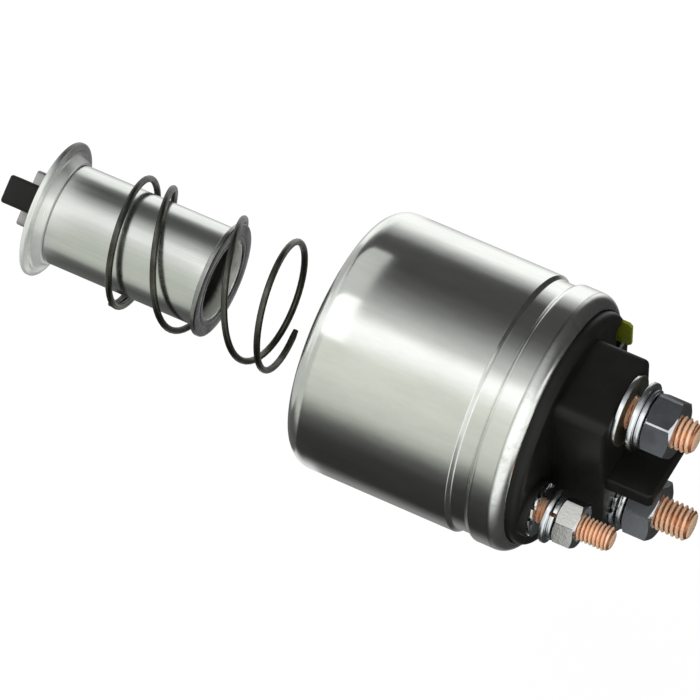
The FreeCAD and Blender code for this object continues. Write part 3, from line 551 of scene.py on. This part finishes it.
def on_ring(x, centre, radius, turn):
    """A point, in metres, of a ring about the line along X through centre (y, z)."""
    return (x * MM, (centre[0] + radius * math.cos(turn)) * MM,
            (centre[1] + radius * math.sin(turn)) * MM)


def ring_faces(rings, count, closed=False):
    """The faces between rings of so many points each; closed also joins the last to the first."""
    faces = []
    for i in range(rings if closed else rings - 1):
        low, high = i * count, (i + 1) % rings * count
        faces += [(low + k, low + (k + 1) % count, high + (k + 1) % count, high + k)
                  for k in range(count)]
    return faces


def end_faces(total, count):
    """The faces that fill the first and the last ring of so many points."""
    return [list(range(count)), list(range(total - count, total))]


def rounded(corners, closed=True, steps=5):
    """Corners (u, v) or (u, v, radius); each radius is rounded with a tangent arc."""
    path = []
    count = len(corners)
    for i, corner in enumerate(corners):
        here = Vector(corner[:2])
        radius = corner[2] if len(corner) > 2 else 0
        if radius == 0 or (not closed and i in (0, count - 1)):
            path.append(here)
            continue
        back = Vector(corners[i - 1][:2]) - here
        ahead = Vector(corners[(i + 1) % count][:2]) - here
        opening = back.angle(ahead)
        reach = radius / math.tan(opening / 2)
        limit = 0.49 * min(back.length, ahead.length)
        if reach > limit:
            radius *= limit / reach
            reach = limit
        first = here + back.normalized() * reach
        centre = here + (back.normalized() + ahead.normalized()).normalized() * (
            radius / math.sin(opening / 2))
        start = first - centre
        way = 1 if back.x * ahead.y - back.y * ahead.x < 0 else -1
        for k in range(steps + 1):
            turn = way * (math.pi - opening) * k / steps
            path.append(centre + Vector((start.x * math.cos(turn) - start.y * math.sin(turn),
                                         start.x * math.sin(turn) + start.y * math.cos(turn))))
    return path


def lathe(name, profile, material, centre=AXIS, segments=160, close=True):
    """Turn a profile of (x, radius) points about the line along X through centre (y, z)."""
    points, rings = [], []
    for x, radius in profile:
        first = len(points)
        if radius < 1e-6:
            points.append(on_ring(x, centre, 0, 0))
            rings.append([first] * segments)
        else:
            points += [on_ring(x, centre, radius, TAU * i / segments) for i in range(segments)]
            rings.append(list(range(first, first + segments)))
    faces = []
    for a in range(len(rings) if close else len(rings) - 1):
        first, last = rings[a], rings[(a + 1) % len(rings)]
        for i in range(segments):
            j = (i + 1) % segments
            face = list(dict.fromkeys((first[i], first[j], last[j], last[i])))
            if len(face) > 2:
                faces.append(face)
    return new_mesh(name, points, faces, material, 35)


def bar(name, start, end, radius, material, place=AXIS, segments=48, edge=0):
    """A round bar along X; its far edge is rounded where edge says by how much."""
    profile = [(start, 0), (start, radius), (end, radius), (end, 0)]
    if edge:
        profile[2] += (edge,)
        profile = rounded(profile, False)
    return lathe(name, profile, material, place, segments, close=False)


def swept(name, place, sections, material, sharp, closed=True):
    """A solid through sections of (turn, [(x, radius), ...]) about the line through place."""
    count = len(sections[0][1])
    points = [on_ring(x, place, radius, turn) for turn, section in sections
              for x, radius in section]
    faces = ring_faces(len(sections), count, closed)
    if not closed:
        faces += end_faces(len(points), count)
    return new_mesh(name, points, faces, material, sharp)


def slab(name, near, far, material):
    """A solid between two outlines of as many points."""
    faces = end_faces(2 * len(near), len(near)) + ring_faces(2, len(near))
    return new_mesh(name, [tuple(v * MM for v in p) for p in near + far], faces, material)


def prism(name, outline, start, end, material, bevel=0.0, flare=0.0):
    """An outline of (y, z) points run along X, with its edges bevelled or its end flared."""
    middle = sum((Vector(p) for p in outline), Vector((0, 0))) / len(outline)
    wider = [Vector(p) + (Vector(p) - middle).normalized() * flare for p in outline]
    item = slab(name, [(start, *p) for p in outline], [(end, *p) for p in wider], material)
    if bevel:
        bevel_edges(item, bevel)
    smooth(item)
    return item


def box_outline(low, high, corner=0.0):
    return rounded([(low[0], low[1], corner), (high[0], low[1], corner),
                    (high[0], high[1], corner), (low[0], high[1], corner)])


def centred_box(half, corner=0.0, turn=0.0):
    """A rectangle about the axis, turned about it."""
    cos, sin = math.cos(turn), math.sin(turn)
    outline = box_outline((-half[0], -half[1]), half, corner)
    return [Vector((p[0] * cos - p[1] * sin, p[0] * sin + p[1] * cos)) for p in outline]


def boolean(item, other, operation):
    """Cut or join another mesh into item, and drop the other."""
    change = item.modifiers.new(operation, "BOOLEAN")
    change.operation = operation
    change.solver = "EXACT"
    change.object = other
    graph = bpy.context.evaluated_depsgraph_get()
    mesh = bpy.data.meshes.new_from_object(item.evaluated_get(graph))
    item.modifiers.clear()
    item.data = mesh
    bpy.data.objects.remove(other)


def join(item, other):
    """Put the other mesh into item's mesh as a separate shell, and drop the other."""
    with reshaping(item) as shaped:
        shaped.from_mesh(other.data)
    bpy.data.objects.remove(other)


def add_finish(item, material, chosen):
    """Give the chosen faces one more material."""
    item.data.materials.append(material)
    for face in item.data.polygons:
        if chosen(face):
            face.material_index = len(item.data.materials) - 1


def stand_for(piece, body, node):
    """The piece rides on its body and stands for the CAD node, which it hides."""
    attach(piece, body)
    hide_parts(node)


class Extent:
    """A CAD node's box in millimetres: its ends along X, Y and Z, and half its width and height."""
    def __init__(self, node):
        low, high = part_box(node)
        self.start, self.end = low[0] / MM, high[0] / MM
        self.side = (low[1] / MM, high[1] / MM)
        self.level = (low[2] / MM, high[2] / MM)
        self.radius = (high[1] - low[1]) / 2 / MM
        self.tall = (high[2] - low[2]) / 2 / MM


# Camera and studio
def make_camera():
    data = bpy.data.cameras.new("camera")
    data.sensor_width = SENSOR
    data.lens = PIXELS_PER_MM * SENSOR * VIEW_METRES / MM / IMAGE_SIZE
    data.clip_start, data.clip_end = CLIP_METRES
    camera = bpy.data.objects.new("camera", data)
    bpy.context.scene.collection.objects.link(camera)
    target = (AXIS_POINT - VIEW_RIGHT * AXIS_POINT_RIGHT + VIEW_UP * AXIS_POINT_DOWN) * MM
    turned = Matrix((VIEW_RIGHT, VIEW_UP, VIEW_BACK)).transposed().to_4x4()
    camera.matrix_world = Matrix.Translation(target + VIEW_BACK * VIEW_METRES) @ turned
    bpy.context.scene.camera = camera


def empty_tree(holder):
    """The node tree of a world or a material, with nothing in it."""
    holder.use_nodes = True
    holder.node_tree.nodes.clear()
    return holder.node_tree


def show(tree, shader, kind="Material"):
    new_node(tree, "Output" + kind, {"Surface": shader.outputs[0]})


def mixed_shader(tree, share, first, second):
    return new_node(tree, "MixShader", {0: share, 1: first.outputs[0], 2: second.outputs[0]})


def make_world():
    world = bpy.data.worlds.new("studio")
    bpy.context.scene.world = world
    tree = empty_tree(world)
    lights = [new_node(tree, "Background", {"Color": (1, 1, 1), "Strength": strength})
              for strength in (WORLD_FILL, 1.0)]
    show(tree, mixed_shader(tree, seen_directly(tree), *lights), "World")


def make_floor():
    material = bpy.data.materials.new("pale_floor")
    tree = empty_tree(material)
    matte = new_node(tree, "BsdfDiffuse", {"Color": FLOOR_COLOUR})
    white = new_node(tree, "Emission", {"Strength": FLOOR_GLOW})
    share = math_node(tree, "MULTIPLY", seen_directly(tree), FLOOR_WHITE_SHARE)
    show(tree, mixed_shader(tree, share, matte, white))
    half, height = FLOOR_HALF_METRES, -FLOOR_DROP * MM
    corners = [(-half, -half, height), (half, -half, height), (half, half, height),
               (-half, half, height)]
    new_mesh("floor", corners, [(0, 1, 2, 3)], material)


def glowing(name, level):
    material = bpy.data.materials.new(name)
    tree = empty_tree(material)
    glow = new_node(tree, "Emission", {"Strength": level})
    show(tree, glow)
    return material, tree, glow


def make_band(name, ends, radius, turns, material, closed=False):
    """A band of card about the axis through the given turns. Only reflections see it."""
    points = [on_ring(x, AXIS, radius, turn) for turn in turns for x in ends]
    count = len(turns)
    pairs = [(i, (i + 1) % count) for i in range(count if closed else count - 1)]
    faces = [(2 * i, 2 * i + 1, 2 * j + 1, 2 * j) for i, j in pairs]
    item = new_mesh(name, points, faces, material)
    for kind in ("camera", "diffuse", "transmission", "volume_scatter", "shadow"):
        setattr(item, "visible_" + kind, False)


def make_cards():
    """Graded cards round the axis, as a photographer sets round metal. A ramp runs from straight
    away from the camera, under the can, over the camera's side, and back behind it."""
    material, tree, glow = glowing("tent_cards", TENT_LEVEL)
    part = places(tree)
    angle = math_node(tree, "ARCTAN2", part["Z"], part["Y"])
    turned = math_node(tree, "SUBTRACT", CAMERA_SIDE + math.pi, angle)
    place = math_node(tree, "WRAP", math_node(tree, "DIVIDE", turned, TAU), 1.0, 0.0)
    grey = ramp(tree, place, FAR_CARDS)
    for start, end, stops in CARD_ZONES:
        grey = mix_colours(tree, zone(tree, part["X"], start, end), grey, ramp(tree, place, stops))
    plug(tree, grey, glow.inputs["Color"])
    turns = [TAU * i / TENT_SIDES for i in range(TENT_SIDES)]
    make_band("card_tent", TENT_ENDS, TENT_RADIUS, turns, material, closed=True)
    for name, (first, last, level) in FRONT_CARDS.items():
        turns = [CAMERA_SIDE - math.radians(first + (last - first) * i / CARD_STEPS)
                 for i in range(CARD_STEPS + 1)]
        make_band(name, CARD_ENDS, CARD_RADIUS, turns, glowing(name, level)[0])


def make_lamps():
    for name, (place, aim, side, power) in LAMPS.items():
        data = bpy.data.lights.new(name, "AREA")
        data.shape = "SQUARE"
        data.size = side
        data.energy = power
        lamp = bpy.data.objects.new(name, data)
        bpy.context.scene.collection.objects.link(lamp)
        lamp.location = place
        lamp.rotation_euler = (Vector(aim) - Vector(place)).to_track_quat("-Z", "Y").to_euler()
        lamp.visible_glossy = False


# Can and sleeve
def make_can(looks):
    size = Extent("can")
    radius, end = size.radius, size.end
    lip = end - LIP_THICKNESS
    bend_radius = (RIM_RUN ** 2 + RIM_DROP ** 2) / (2 * RIM_DROP)
    bend_turns = [math.asin(RIM_RUN / bend_radius) * i / BEND_STEPS for i in range(BEND_STEPS)]
    bend = [(BEND_START + bend_radius * math.sin(turn),
             radius - bend_radius * (1 - math.cos(turn))) for turn in bend_turns]
    profile = rounded([
        (SLEEVE_RECESS, BORE_EDGE), (SLEEVE_RECESS, SLEEVE_SEAT), (0.0, SLEEVE_SEAT, 0.2),
        (0.0, radius, FRONT_CORNER), (NECK_START - NECK_BEVEL, radius, 0.35),
        (NECK_START, NECK_RADIUS, 0.5), (NECK_END, NECK_RADIUS, 0.8),
        (NECK_END + NECK_RISE, radius, 1.4), *bend, (end, radius - RIM_DROP, 0.2),
        (end, LIP_INNER, 0.25), (lip, LIP_INNER, 0.2), (lip, SEAT_RADIUS),
        (PLATE_START, SEAT_RADIUS), (PLATE_START, INNER_RADIUS), (FRONT_WALL, INNER_RADIUS),
        (FRONT_WALL, BORE_EDGE),
    ], steps=12)
    can = lathe("can_shell", profile, looks["can"], segments=256)
    through = FRONT_WALL + OVERCUT
    for i in range(HOLE_COUNT):
        turn = TAU * i / HOLE_COUNT
        place = (HOLE_CIRCLE * math.cos(turn), HOLE_CIRCLE * math.sin(turn))
        drill = lathe("drill", [(-OVERCUT, 0), (-OVERCUT, HOLE_RADIUS + HOLE_SINK),
                                (HOLE_SINK_DEPTH, HOLE_RADIUS), (through, HOLE_RADIUS),
                                (through, 0)], looks["can"], place, 32, close=False)
        boolean(can, drill, "DIFFERENCE")
    add_finish(can, looks["rim"], lambda face: face.center.x > (BEND_START - 0.6) * MM)
    smooth(can)
    stand_for(can, "housing", "can")


def make_sleeve(looks):
    size = Extent("guide_sleeve")
    outer, flange = SLEEVE_BORE + SLEEVE_WALL, size.start + SLEEVE_WALL
    profile = rounded([
        (size.start, SLEEVE_BORE, 0.5), (size.end, SLEEVE_BORE), (size.end, outer),
        (flange, outer), (flange, size.radius, 0.1), (size.start, size.radius, 0.1),
    ], steps=4)
    sleeve = lathe("sleeve_tube", profile, looks["brass"])
    stand_for(sleeve, "housing", "guide_sleeve")


# Terminal cap
def make_cap(looks):
    size = Extent("terminal_cap")
    black = looks["black"]
    start, tall, skirt = size.start, size.tall, size.start + CAP_SKIRT
    inside = CAP_BASE - CAP_BASE_WALL
    root = inside + OVERLAP
    cap = lathe("cap_moulding", rounded([
        (start, CAP_CHAMBER), (start, tall, 0.3), (skirt, tall, 0.3), (skirt, CAP_NECK),
        (CAP_BASE, CAP_NECK, CAP_ROUND), (CAP_BASE, 0), (inside, 0), (inside, CAP_CHAMBER),
    ], steps=8), black)
    block = prism("block", centred_box(BLOCK_HALF, BLOCK_CORNER), root, BLOCK_TOP, black, 1.0)
    boolean(cap, block, "UNION")
    hollow = (BLOCK_HALF[0] - BLOCK_WALL, BLOCK_HALF[1] - BLOCK_WALL)
    pocket = prism("pocket", centred_box(hollow), inside - OVERCUT, BLOCK_TOP - BLOCK_ROOF, black)
    boolean(cap, pocket, "DIFFERENCE")
    boss = bar("boss", root, BOSS_TOP, BOSS_RADIUS, black, STUDS["switch"].place, 64, 0.5)
    boolean(cap, boss, "UNION")
    boolean(cap, barrier_wall(black, size.end), "UNION")
    for stud in STUDS.values():
        drill = bar("drill", inside - OVERCUT, stud.face + OVERCUT, stud.radius + STUD_GAP, black,
                    stud.place, 32)
        boolean(cap, drill, "DIFFERENCE")
    blade = Extent("spade_terminal")
    outline = box_outline((blade.side[0] - NOTCH_INWARD, blade.level[0] - NOTCH_MARGIN),
                          (blade.side[1] + NOTCH_OUTWARD, blade.level[1] + NOTCH_MARGIN), 0.6)
    for name, depth, rise, flare in (("notch", NOTCH_DEPTH, 2, 0.0),
                                     ("lead_in", 0.5, 0.5, NOTCH_FLARE)):
        cutter = prism(name, outline, CAP_BASE - depth, CAP_BASE + rise, black, flare=flare)
        boolean(cap, cutter, "DIFFERENCE")

    # Painted highlight: the sloped faces on the base near the notch take a paler colour.
    def gets_painted_highlight(face):
        y, z = face.center.y / MM, face.center.z / MM
        near = HIGHLIGHT_EDGE_FROM[0] < y and HIGHLIGHT_EDGE_FROM[1] < z and face.center.x > (CAP_BASE - 0.5) * MM
        inward = math.hypot(y, z) < CAP_NECK - CAP_ROUND - 0.1
        return near and inward and 0.1 < face.normal.x < 0.9

    add_finish(cap, looks["painted_highlight_edge"], gets_painted_highlight)
    smooth(cap, 32)
    stand_for(cap, "housing", "terminal_cap")


def barrier_wall(black, top):
    """The wall between the two main studs, with its outer corners rounded."""
    foot, half, thick = BLOCK_TOP - 1, BARRIER_HALF, BARRIER_HALF_THICKNESS
    outline = rounded([(foot, -half), (top, -half, BARRIER_CORNER), (top, half, BARRIER_CORNER),
                       (foot, half)], steps=8)
    near, far = ([(x, y, z) for x, y in outline] for z in (-thick, thick))
    item = slab("barrier", near, far, black)
    bevel_edges(item, 0.5, sharp=40)
    return item


# Studs, nuts and washers
def stud_of(node):
    """The stud that a terminal's piece belongs to, from the first word of its name."""
    return STUDS[node.split("_")[0]]


def thread_share(place, pitch):
    """Depth share of a rolled thread, 0 at the crest and 1 at the root."""
    return (0.5 - 0.5 * math.cos(TAU * place / pitch)) ** THREAD_FULLNESS


def threaded_stud(node, looks):
    """A copper stud with a real helical thread and a bevelled end."""
    stud = stud_of(node)
    first, end, pitch = stud.thread_start, Extent(node).end, stud.pitch
    depth = THREAD_DEPTH * pitch
    rows = int((end - first) / pitch * ROWS_PER_PITCH)
    points = []
    for i in range(rows + 1):
        x = first + (end - first) * i / rows
        limit = stud.radius - max(0.0, TIP_BEVEL - (end - x)) * TIP_SLOPE
        fade = min(1.0, (x - first) / pitch)
        for k in range(THREAD_SIDES):
            cut = thread_share(x - first - pitch * k / THREAD_SIDES, pitch)
            radius = min(stud.radius - depth * fade * cut, limit)
            points.append(on_ring(x, stud.place, radius, TAU * k / THREAD_SIDES))
    faces = ring_faces(rows + 1, THREAD_SIDES)
    sides = len(faces)
    for ring, x in ((rows * THREAD_SIDES, end - TIP_DISH), (0, first)):
        faces += [(ring + k, ring + (k + 1) % THREAD_SIDES, len(points))
                  for k in range(THREAD_SIDES)]
        points.append(on_ring(x, stud.place, 0, 0))
    item = new_mesh(node + "_copper", points, faces, looks["copper"], 50)

    # Painted shade: faces deep in the thread's valleys take the darker copper.
    def in_painted_root_shade(face):
        reach = Vector((face.center.y / MM - stud.place[0], face.center.z / MM - stud.place[1]))
        return face.index < sides and reach.length < stud.radius - ROOT_SHADE_FROM * depth

    add_finish(item, looks["roots"], in_painted_root_shade)
    join(item, stud_head(node, stud, looks["copper"]))
    smooth(item, 50)
    stand_for(item, "housing", node)


def stud_head(node, stud, copper):
    """The head inside the cap, flat on the main studs and round on the switch stud, and the plain
    shank up to the thread."""
    size = Extent(node)
    x, top = size.start, stud.thread_start + SHANK_LAP
    plain = stud.radius - SHANK_UNDERCUT
    if node == "switch_stud":
        radius, under = SWITCH_HEAD_RADIUS, x + SWITCH_HEAD_THICKNESS
        return lathe("head", rounded([(x, 0), (x, radius, 0.3), (under, radius, 0.3),
                                      (under, plain), (top, plain), (top, 0)], False),
                     copper, stud.place, 48, close=False)
    outline = box_outline((size.side[0], size.level[0]), (size.side[1], size.level[1]), 0.8)
    head = prism("head", outline, x, x + HEAD_THICKNESS, copper, 0.3)
    join(head, bar("shank", x + HEAD_THICKNESS - 1, top, plain, copper, stud.place))
    return head


def hex_nut(name, size, stud, looks, turn, finish):
    """A hexagon nut: flat sides, corners cut back by a cone on both faces, countersunk bore."""
    start, end, bore = size.start, size.end, stud.radius
    apothem = stud.flats / 2
    face_radius = apothem * NUT_FACE_SHARE
    sections = []
    for k in range(NUT_STEPS * 6):
        angle = TAU * k / (NUT_STEPS * 6)
        reach = apothem / math.cos(angle % (math.pi / 3) - math.pi / 6)
        drop = max(NUT_LEAST_DROP, (reach - face_radius) * NUT_CONE)
        sections.append((angle + turn, [
            (start + NUT_SINK, bore), (start, bore + NUT_SINK), (start, face_radius),
            (start + drop, reach), (end - drop, reach), (end, face_radius),
            (end, bore + NUT_SINK), (end - NUT_SINK, bore)]))
    nut = swept(name, stud.place, sections, looks["zinc"], 20)
    # Painted light: the flats take a copy of the zinc with painted shade or a painted highlight;
    # the chamfers and a column at each corner keep the plain zinc and show as lines of another
    # tone.
    rows, flat = len(sections[0][1]), 3
    add_finish(nut, looks[finish],
               lambda face: face.index % rows == flat and face.index // rows % NUT_STEPS)
    return nut


def flat_washer(name, size, stud, looks, finish="zinc"):
    bore, radius = stud.radius + WASHER_GAP, max(size.radius, size.tall)
    profile = rounded([(size.start, bore, 0.15), (size.end, bore, 0.15), (size.end, radius, 0.3),
                       (size.start, radius, 0.3)], steps=3)
    washer = lathe(name, profile, looks["zinc"], stud.place, 96)
    # The flat faces take the second finish; the rounded rim keeps the zinc.
    add_finish(washer, looks[finish], lambda face: abs(face.normal.x) > 0.9)
    smooth(washer)
    return washer


def split_washer(name, size, stud, looks, turn):
    """A spring washer: a square-section coil of almost one turn, its ends a little apart."""
    bore, radius = stud.radius + WASHER_GAP, stud.coil_radius
    thick = size.end - size.start - COIL_LEAD
    outline = rounded([(0, bore, 0.2), (thick, bore, 0.2), (thick, radius, 0.25),
                       (0, radius, 0.25)], steps=3)
    sections = []
    for i in range(COIL_STEPS + 1):
        share = i / COIL_STEPS
        start = size.start + COIL_LEAD * share
        sections.append((turn + COIL_SWEEP * share, [(start + x, r) for x, r in outline]))
    return swept(name, stud.place, sections, looks["zinc"], 35, closed=False)


def toothed_washer(name, size, stud, looks):
    """A lock washer whose outer teeth are each twisted a little out of the flat."""
    bore, radius = stud.radius + WASHER_GAP, stud.teeth_radius
    thick = (size.end - size.start) * TOOTH_THICKNESS_SHARE
    rise = (size.end - size.start - thick) / 2
    back = size.start + rise
    front, gap, foot = back + thick, radius - TOOTH_DEPTH, radius - TOOTH_DEPTH - 0.15
    sections = []
    for k in range(TEETH * TOOTH_STEPS):
        share = (k % TOOTH_STEPS) / TOOTH_STEPS
        tooth = share < TOOTH_SHARE
        outer = radius if tooth else gap
        twist = rise * (2 * share / TOOTH_SHARE - 1) if tooth else 0.0
        sections.append((TAU * k / (TEETH * TOOTH_STEPS), [
            (back, bore), (back, foot), (back + twist, outer), (front + twist, outer),
            (front, foot), (front, bore)]))
    return swept(name, stud.place, sections, looks["zinc"], 25)


# Each nut and washer: its maker, piece and CAD node, and its turn or its second finish; a nut's
# second finish is painted shade or a painted highlight on its flats
HARDWARE = (
    (flat_washer, "battery_seat_plate", "battery_seat_washer", "stained"),
    (flat_washer, "battery_flat_plate", "battery_flat_washer"),
    (split_washer, "battery_spring_coil", "battery_spring_washer", 0.4),
    (hex_nut, "battery_nut_body", "battery_nut", math.radians(8), "nut"),
    (toothed_washer, "motor_lock_teeth", "motor_lock_washer"),
    (split_washer, "motor_spring_coil", "motor_spring_washer", 1.6),
    (hex_nut, "motor_nut_body", "motor_nut", math.radians(20), "pale_nut"),
    (toothed_washer, "switch_seat_teeth", "switch_seat_washer"),
    (flat_washer, "switch_flat_plate", "switch_flat_washer"),
    (split_washer, "switch_spring_coil", "switch_spring_washer", 2.2),
    (hex_nut, "switch_nut_body", "switch_nut", math.radians(14), "bright_nut"),
)


def make_terminals(looks):
    for terminal in STUDS:
        threaded_stud(terminal + "_stud", looks)
    for make, name, node, *more in HARDWARE:
        piece = make(name, Extent(node), stud_of(node), looks, *more)
        stand_for(piece, "housing", node)


def make_spade(looks):
    """The blade, with the corners of its free end cut back."""
    size = Extent("spade_terminal")
    x0, x1, (z0, z1) = size.start, size.end, size.level
    cut = 0.8
    outline = rounded([(x0, z0), (x1 - cut, z0, 0.2), (x1, z0 + cut, 0.2), (x1, z1 - cut, 0.2),
                       (x1 - cut, z1, 0.2), (x0, z1)], steps=3)
    near, far = ([(x, y, z) for x, z in outline] for y in size.side)
    blade = slab("spade_blade", near, far, looks["olive"])
    bevel_edges(blade, 0.12, 2, 60, clamp=False)
    smooth(blade)
    stand_for(blade, "housing", "spade_terminal")


# Plunger group
def make_plunger(looks):
    size = Extent("plunger")
    start, end, radius, bore = size.start, size.end, size.radius, PLUNGER_BORE
    shoulder, mouth = start + SEAT_SPIGOT_LENGTH, end - RING_SPIGOT_LENGTH
    floor, joint, groove = start + PLUNGER_FLOOR, shoulder + SEAT_JOINT, radius - SEAT_JOINT_DEPTH
    plunger = lathe("plunger_body", rounded([
        (start, ROD_HOLE, 0.2), (start, SEAT_SPIGOT, 0.2), (shoulder, SEAT_SPIGOT),
        (shoulder, groove), (joint, groove), (joint, radius, 0.15), (mouth, radius, 0.2),
        (mouth, RING_SPIGOT), (end, RING_SPIGOT, 0.2), (end, bore, 0.5), (floor, bore, 1.0),
        (floor, ROD_HOLE, 0.2),
    ], steps=4), looks["bright"], segments=192)
    # The bore's faces take the material with painted shade deep inside.
    add_finish(plunger, looks["bore"],
               lambda face: math.hypot(face.center.y, face.center.z) < (bore + 0.2) * MM)
    # Painted shade: the plunger's end face takes the darker copy of the steel.
    add_finish(plunger, looks["end_face_painted_shade"],
               lambda face: face.center.x > (end - 1) * MM and face.normal.x > 0.5)
    stand_for(plunger, "plunger", "plunger")
    ring = Extent("plunger_guide_ring")
    inner = RING_SPIGOT + 0.05
    collar = lathe("guide_ring_body", rounded([
        (ring.start, inner, 0.1), (ring.end, inner, 0.2), (ring.end, ring.radius, 0.35),
        (ring.start, ring.radius, 0.35)], steps=4), looks["ring"])
    # Painted shade: the ring's end face takes the darker copy of the steel.
    add_finish(collar, looks["end_face_painted_shade"], lambda face: face.normal.x > 0.5)
    stand_for(collar, "plunger", "plunger_guide_ring")


def make_spring_seat(looks):
    """Pressed sheet: a hub on the plunger's end sweeps out to a thin flange with a raised bead."""
    size = Extent("spring_seat")
    rim, radius, foot, inner = size.start, size.radius, SEAT_FOOT, SEAT_SPIGOT + 0.05
    hub, valley = Extent("plunger").start + SEAT_SPIGOT_LENGTH, rim + SEAT_FLANGE
    back = hub - SEAT_SHEET
    seat = lathe("seat_cup", rounded([
        (hub, inner, 0.1), (hub, foot, 0.4), (valley, foot + 1.3, 1.3),
        (valley + SEAT_BEAD, SEAT_RISE, 0.7), (valley, radius, 0.6), (rim, radius, 0.6),
        (rim, SEAT_RISE, 0.5), (rim, foot + 0.7, 1.0), (back, foot - 0.8, 0.4),
        (back, inner, 0.1),
    ], steps=8), looks["satin"], segments=192)
    stand_for(seat, "plunger", "spring_seat")


# Springs
def spring_pitch(turns):
    opening = (turns - FIRST_CLOSED) / PITCH_EASE + 0.5
    closing = (FIRST_CLOSED + OPEN_TURNS - turns) / PITCH_EASE + 0.5
    share = min(max(min(opening, closing), 0), 1)
    share = share * share * (3 - 2 * share)
    return CLOSED_PITCH + share * (OPEN_PITCH - CLOSED_PITCH)


def spring_line():
    total = FIRST_CLOSED + OPEN_TURNS + LAST_CLOSED
    line, along = [], SPRING_START
    for i in range(int(round(total * SPRING_STEPS)) + 1):
        turns = i / SPRING_STEPS
        angle = TAU * turns
        line.append(Vector((along + SPRING_LEAN * math.cos(angle),
                            COIL_RADIUS * math.cos(SPRING_ANGLE + angle),
                            COIL_RADIUS * math.sin(SPRING_ANGLE + angle))))
        along += spring_pitch(turns + 0.5 / SPRING_STEPS) / SPRING_STEPS
    return line


def wire_mesh(name, line, radius, material, sides=16):
    """A round wire along a line of points, with its cut ends slightly rounded."""
    points = []
    last = len(line) - 1
    stations = [(0, 0.0, 0.3), (0, 0.12, 0.8)]
    stations += [(i, 0.0, 1.0) for i in range(1, last)]
    stations += [(last, -0.12, 0.8), (last, 0.0, 0.3)]
    for i, step, share in stations:
        way = (line[min(i + 1, last)] - line[max(i - 1, 0)]).normalized()
        out = Vector((0, line[i].y, line[i].z)).normalized()
        out = (out - way * out.dot(way)).normalized()
        side = way.cross(out)
        centre = line[i] + way * step
        for k in range(sides):
            angle = TAU * k / sides
            spot = centre + (out * math.cos(angle) + side * math.sin(angle)) * radius * share
            points.append(spot * MM)
    faces = ring_faces(len(stations), sides) + end_faces(len(points), sides)
    return new_mesh(name, points, faces, material, 50)


def make_return_spring(looks):
    spring = wire_mesh("return_coil", spring_line(), WIRE_RADIUS, looks["spring"])
    stand_for(spring, "plunger", "return_spring")
    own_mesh(spring)


def even_coil(name, node, body, looks, turns, wire):
    """A coil of even pitch in the node's box, and the box's ends along X in metres."""
    low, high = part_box(node)
    start, end = low[0] / MM + wire, high[0] / MM - wire
    coil = (high[2] - low[2]) / 2 / MM - wire
    steps = turns * SMALL_SPRING_STEPS
    line = [Vector((start + (end - start) * i / steps, coil * math.cos(TAU * turns * i / steps),
                    coil * math.sin(TAU * turns * i / steps))) for i in range(steps + 1)]
    spring = wire_mesh(name, line, wire, looks["spring"], 12)
    stand_for(spring, body, node)
    return spring, low[0], high[0]


def make_small_springs(looks):
    """Each is held on its own body."""
    mesh, low, high = even_coil("meshing_coil", "meshing_spring", "rod", looks, 6, 0.8)
    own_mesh(mesh)
    back, low, high = even_coil("contact_return_coil", "contact_return_spring", "contact", looks,
                                5, 0.35)
    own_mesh(back)
    even_coil("contact_coil", "contact_spring", "contact", looks, 4, 0.5)


# Pull rod and its end fitting
def make_pull_rod(looks):
    size, plate = Extent("pull_rod"), Extent("link_plate")
    x0, p0, p1 = size.start, plate.start, plate.end
    dark = looks["blackened"]
    half, neck = ROD_BLOCK_HALF, x0 + ROD_BLOCK_LENGTH
    block = prism("rod_block", centred_box((half, half), 0.9, LINK_TURN), x0, neck, dark, 0.5)
    span, deep = PLATE_HALF
    slot = centred_box((span, deep + PLATE_GAP), turn=LINK_TURN)
    boolean(block, prism("slot", slot, p0 - PLATE_GAP, p1 + PLATE_GAP, dark), "DIFFERENCE")
    shank = bar("rod_shank", neck - 0.6, size.end, ROD_RADIUS, dark, segments=64, edge=0.4)
    join(block, shank)
    smooth(block)
    block.name = "rod_shank_and_block"
    stand_for(block, "rod", "pull_rod")
    cross = prism("cross_plate", centred_box(PLATE_HALF, 0.9, LINK_TURN), p0, p1, looks["dull"],
                  0.35)
    stand_for(cross, "rod", "link_plate")


def finish_inner_pieces(looks):
    """CAD nodes that stay: their shapes are right, and each gets its own finish."""
    finishes = {
        "coil_bobbin": "nylon", "pull_in_winding": "wire", "hold_in_winding": "wire",
        "pole_core": "iron", "core_plate": "iron", "cap_gasket": "rubber",
        "rod_snap_ring": "spring", "rod_head": "dull",
        "contact_rod": "dull", "rear_insulator": "nylon", "contact_bridge": "copper",
        "front_insulator": "nylon", "contact_clip": "spring",
    }
    for node, look in finishes.items():
        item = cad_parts[node]
        item.data.materials.clear()
        item.data.materials.append(looks[look])


def main():
    bpy.context.scene.view_settings.view_transform = "Standard"
    make_camera()
    make_world()
    make_floor()
    make_cards()
    make_lamps()
    looks = make_materials()
    for make in (make_can, make_sleeve, make_cap, make_terminals, make_spade, make_plunger,
                 make_spring_seat, make_return_spring, make_small_springs, make_pull_rod,
                 finish_inner_pieces):
        make(looks)


main()
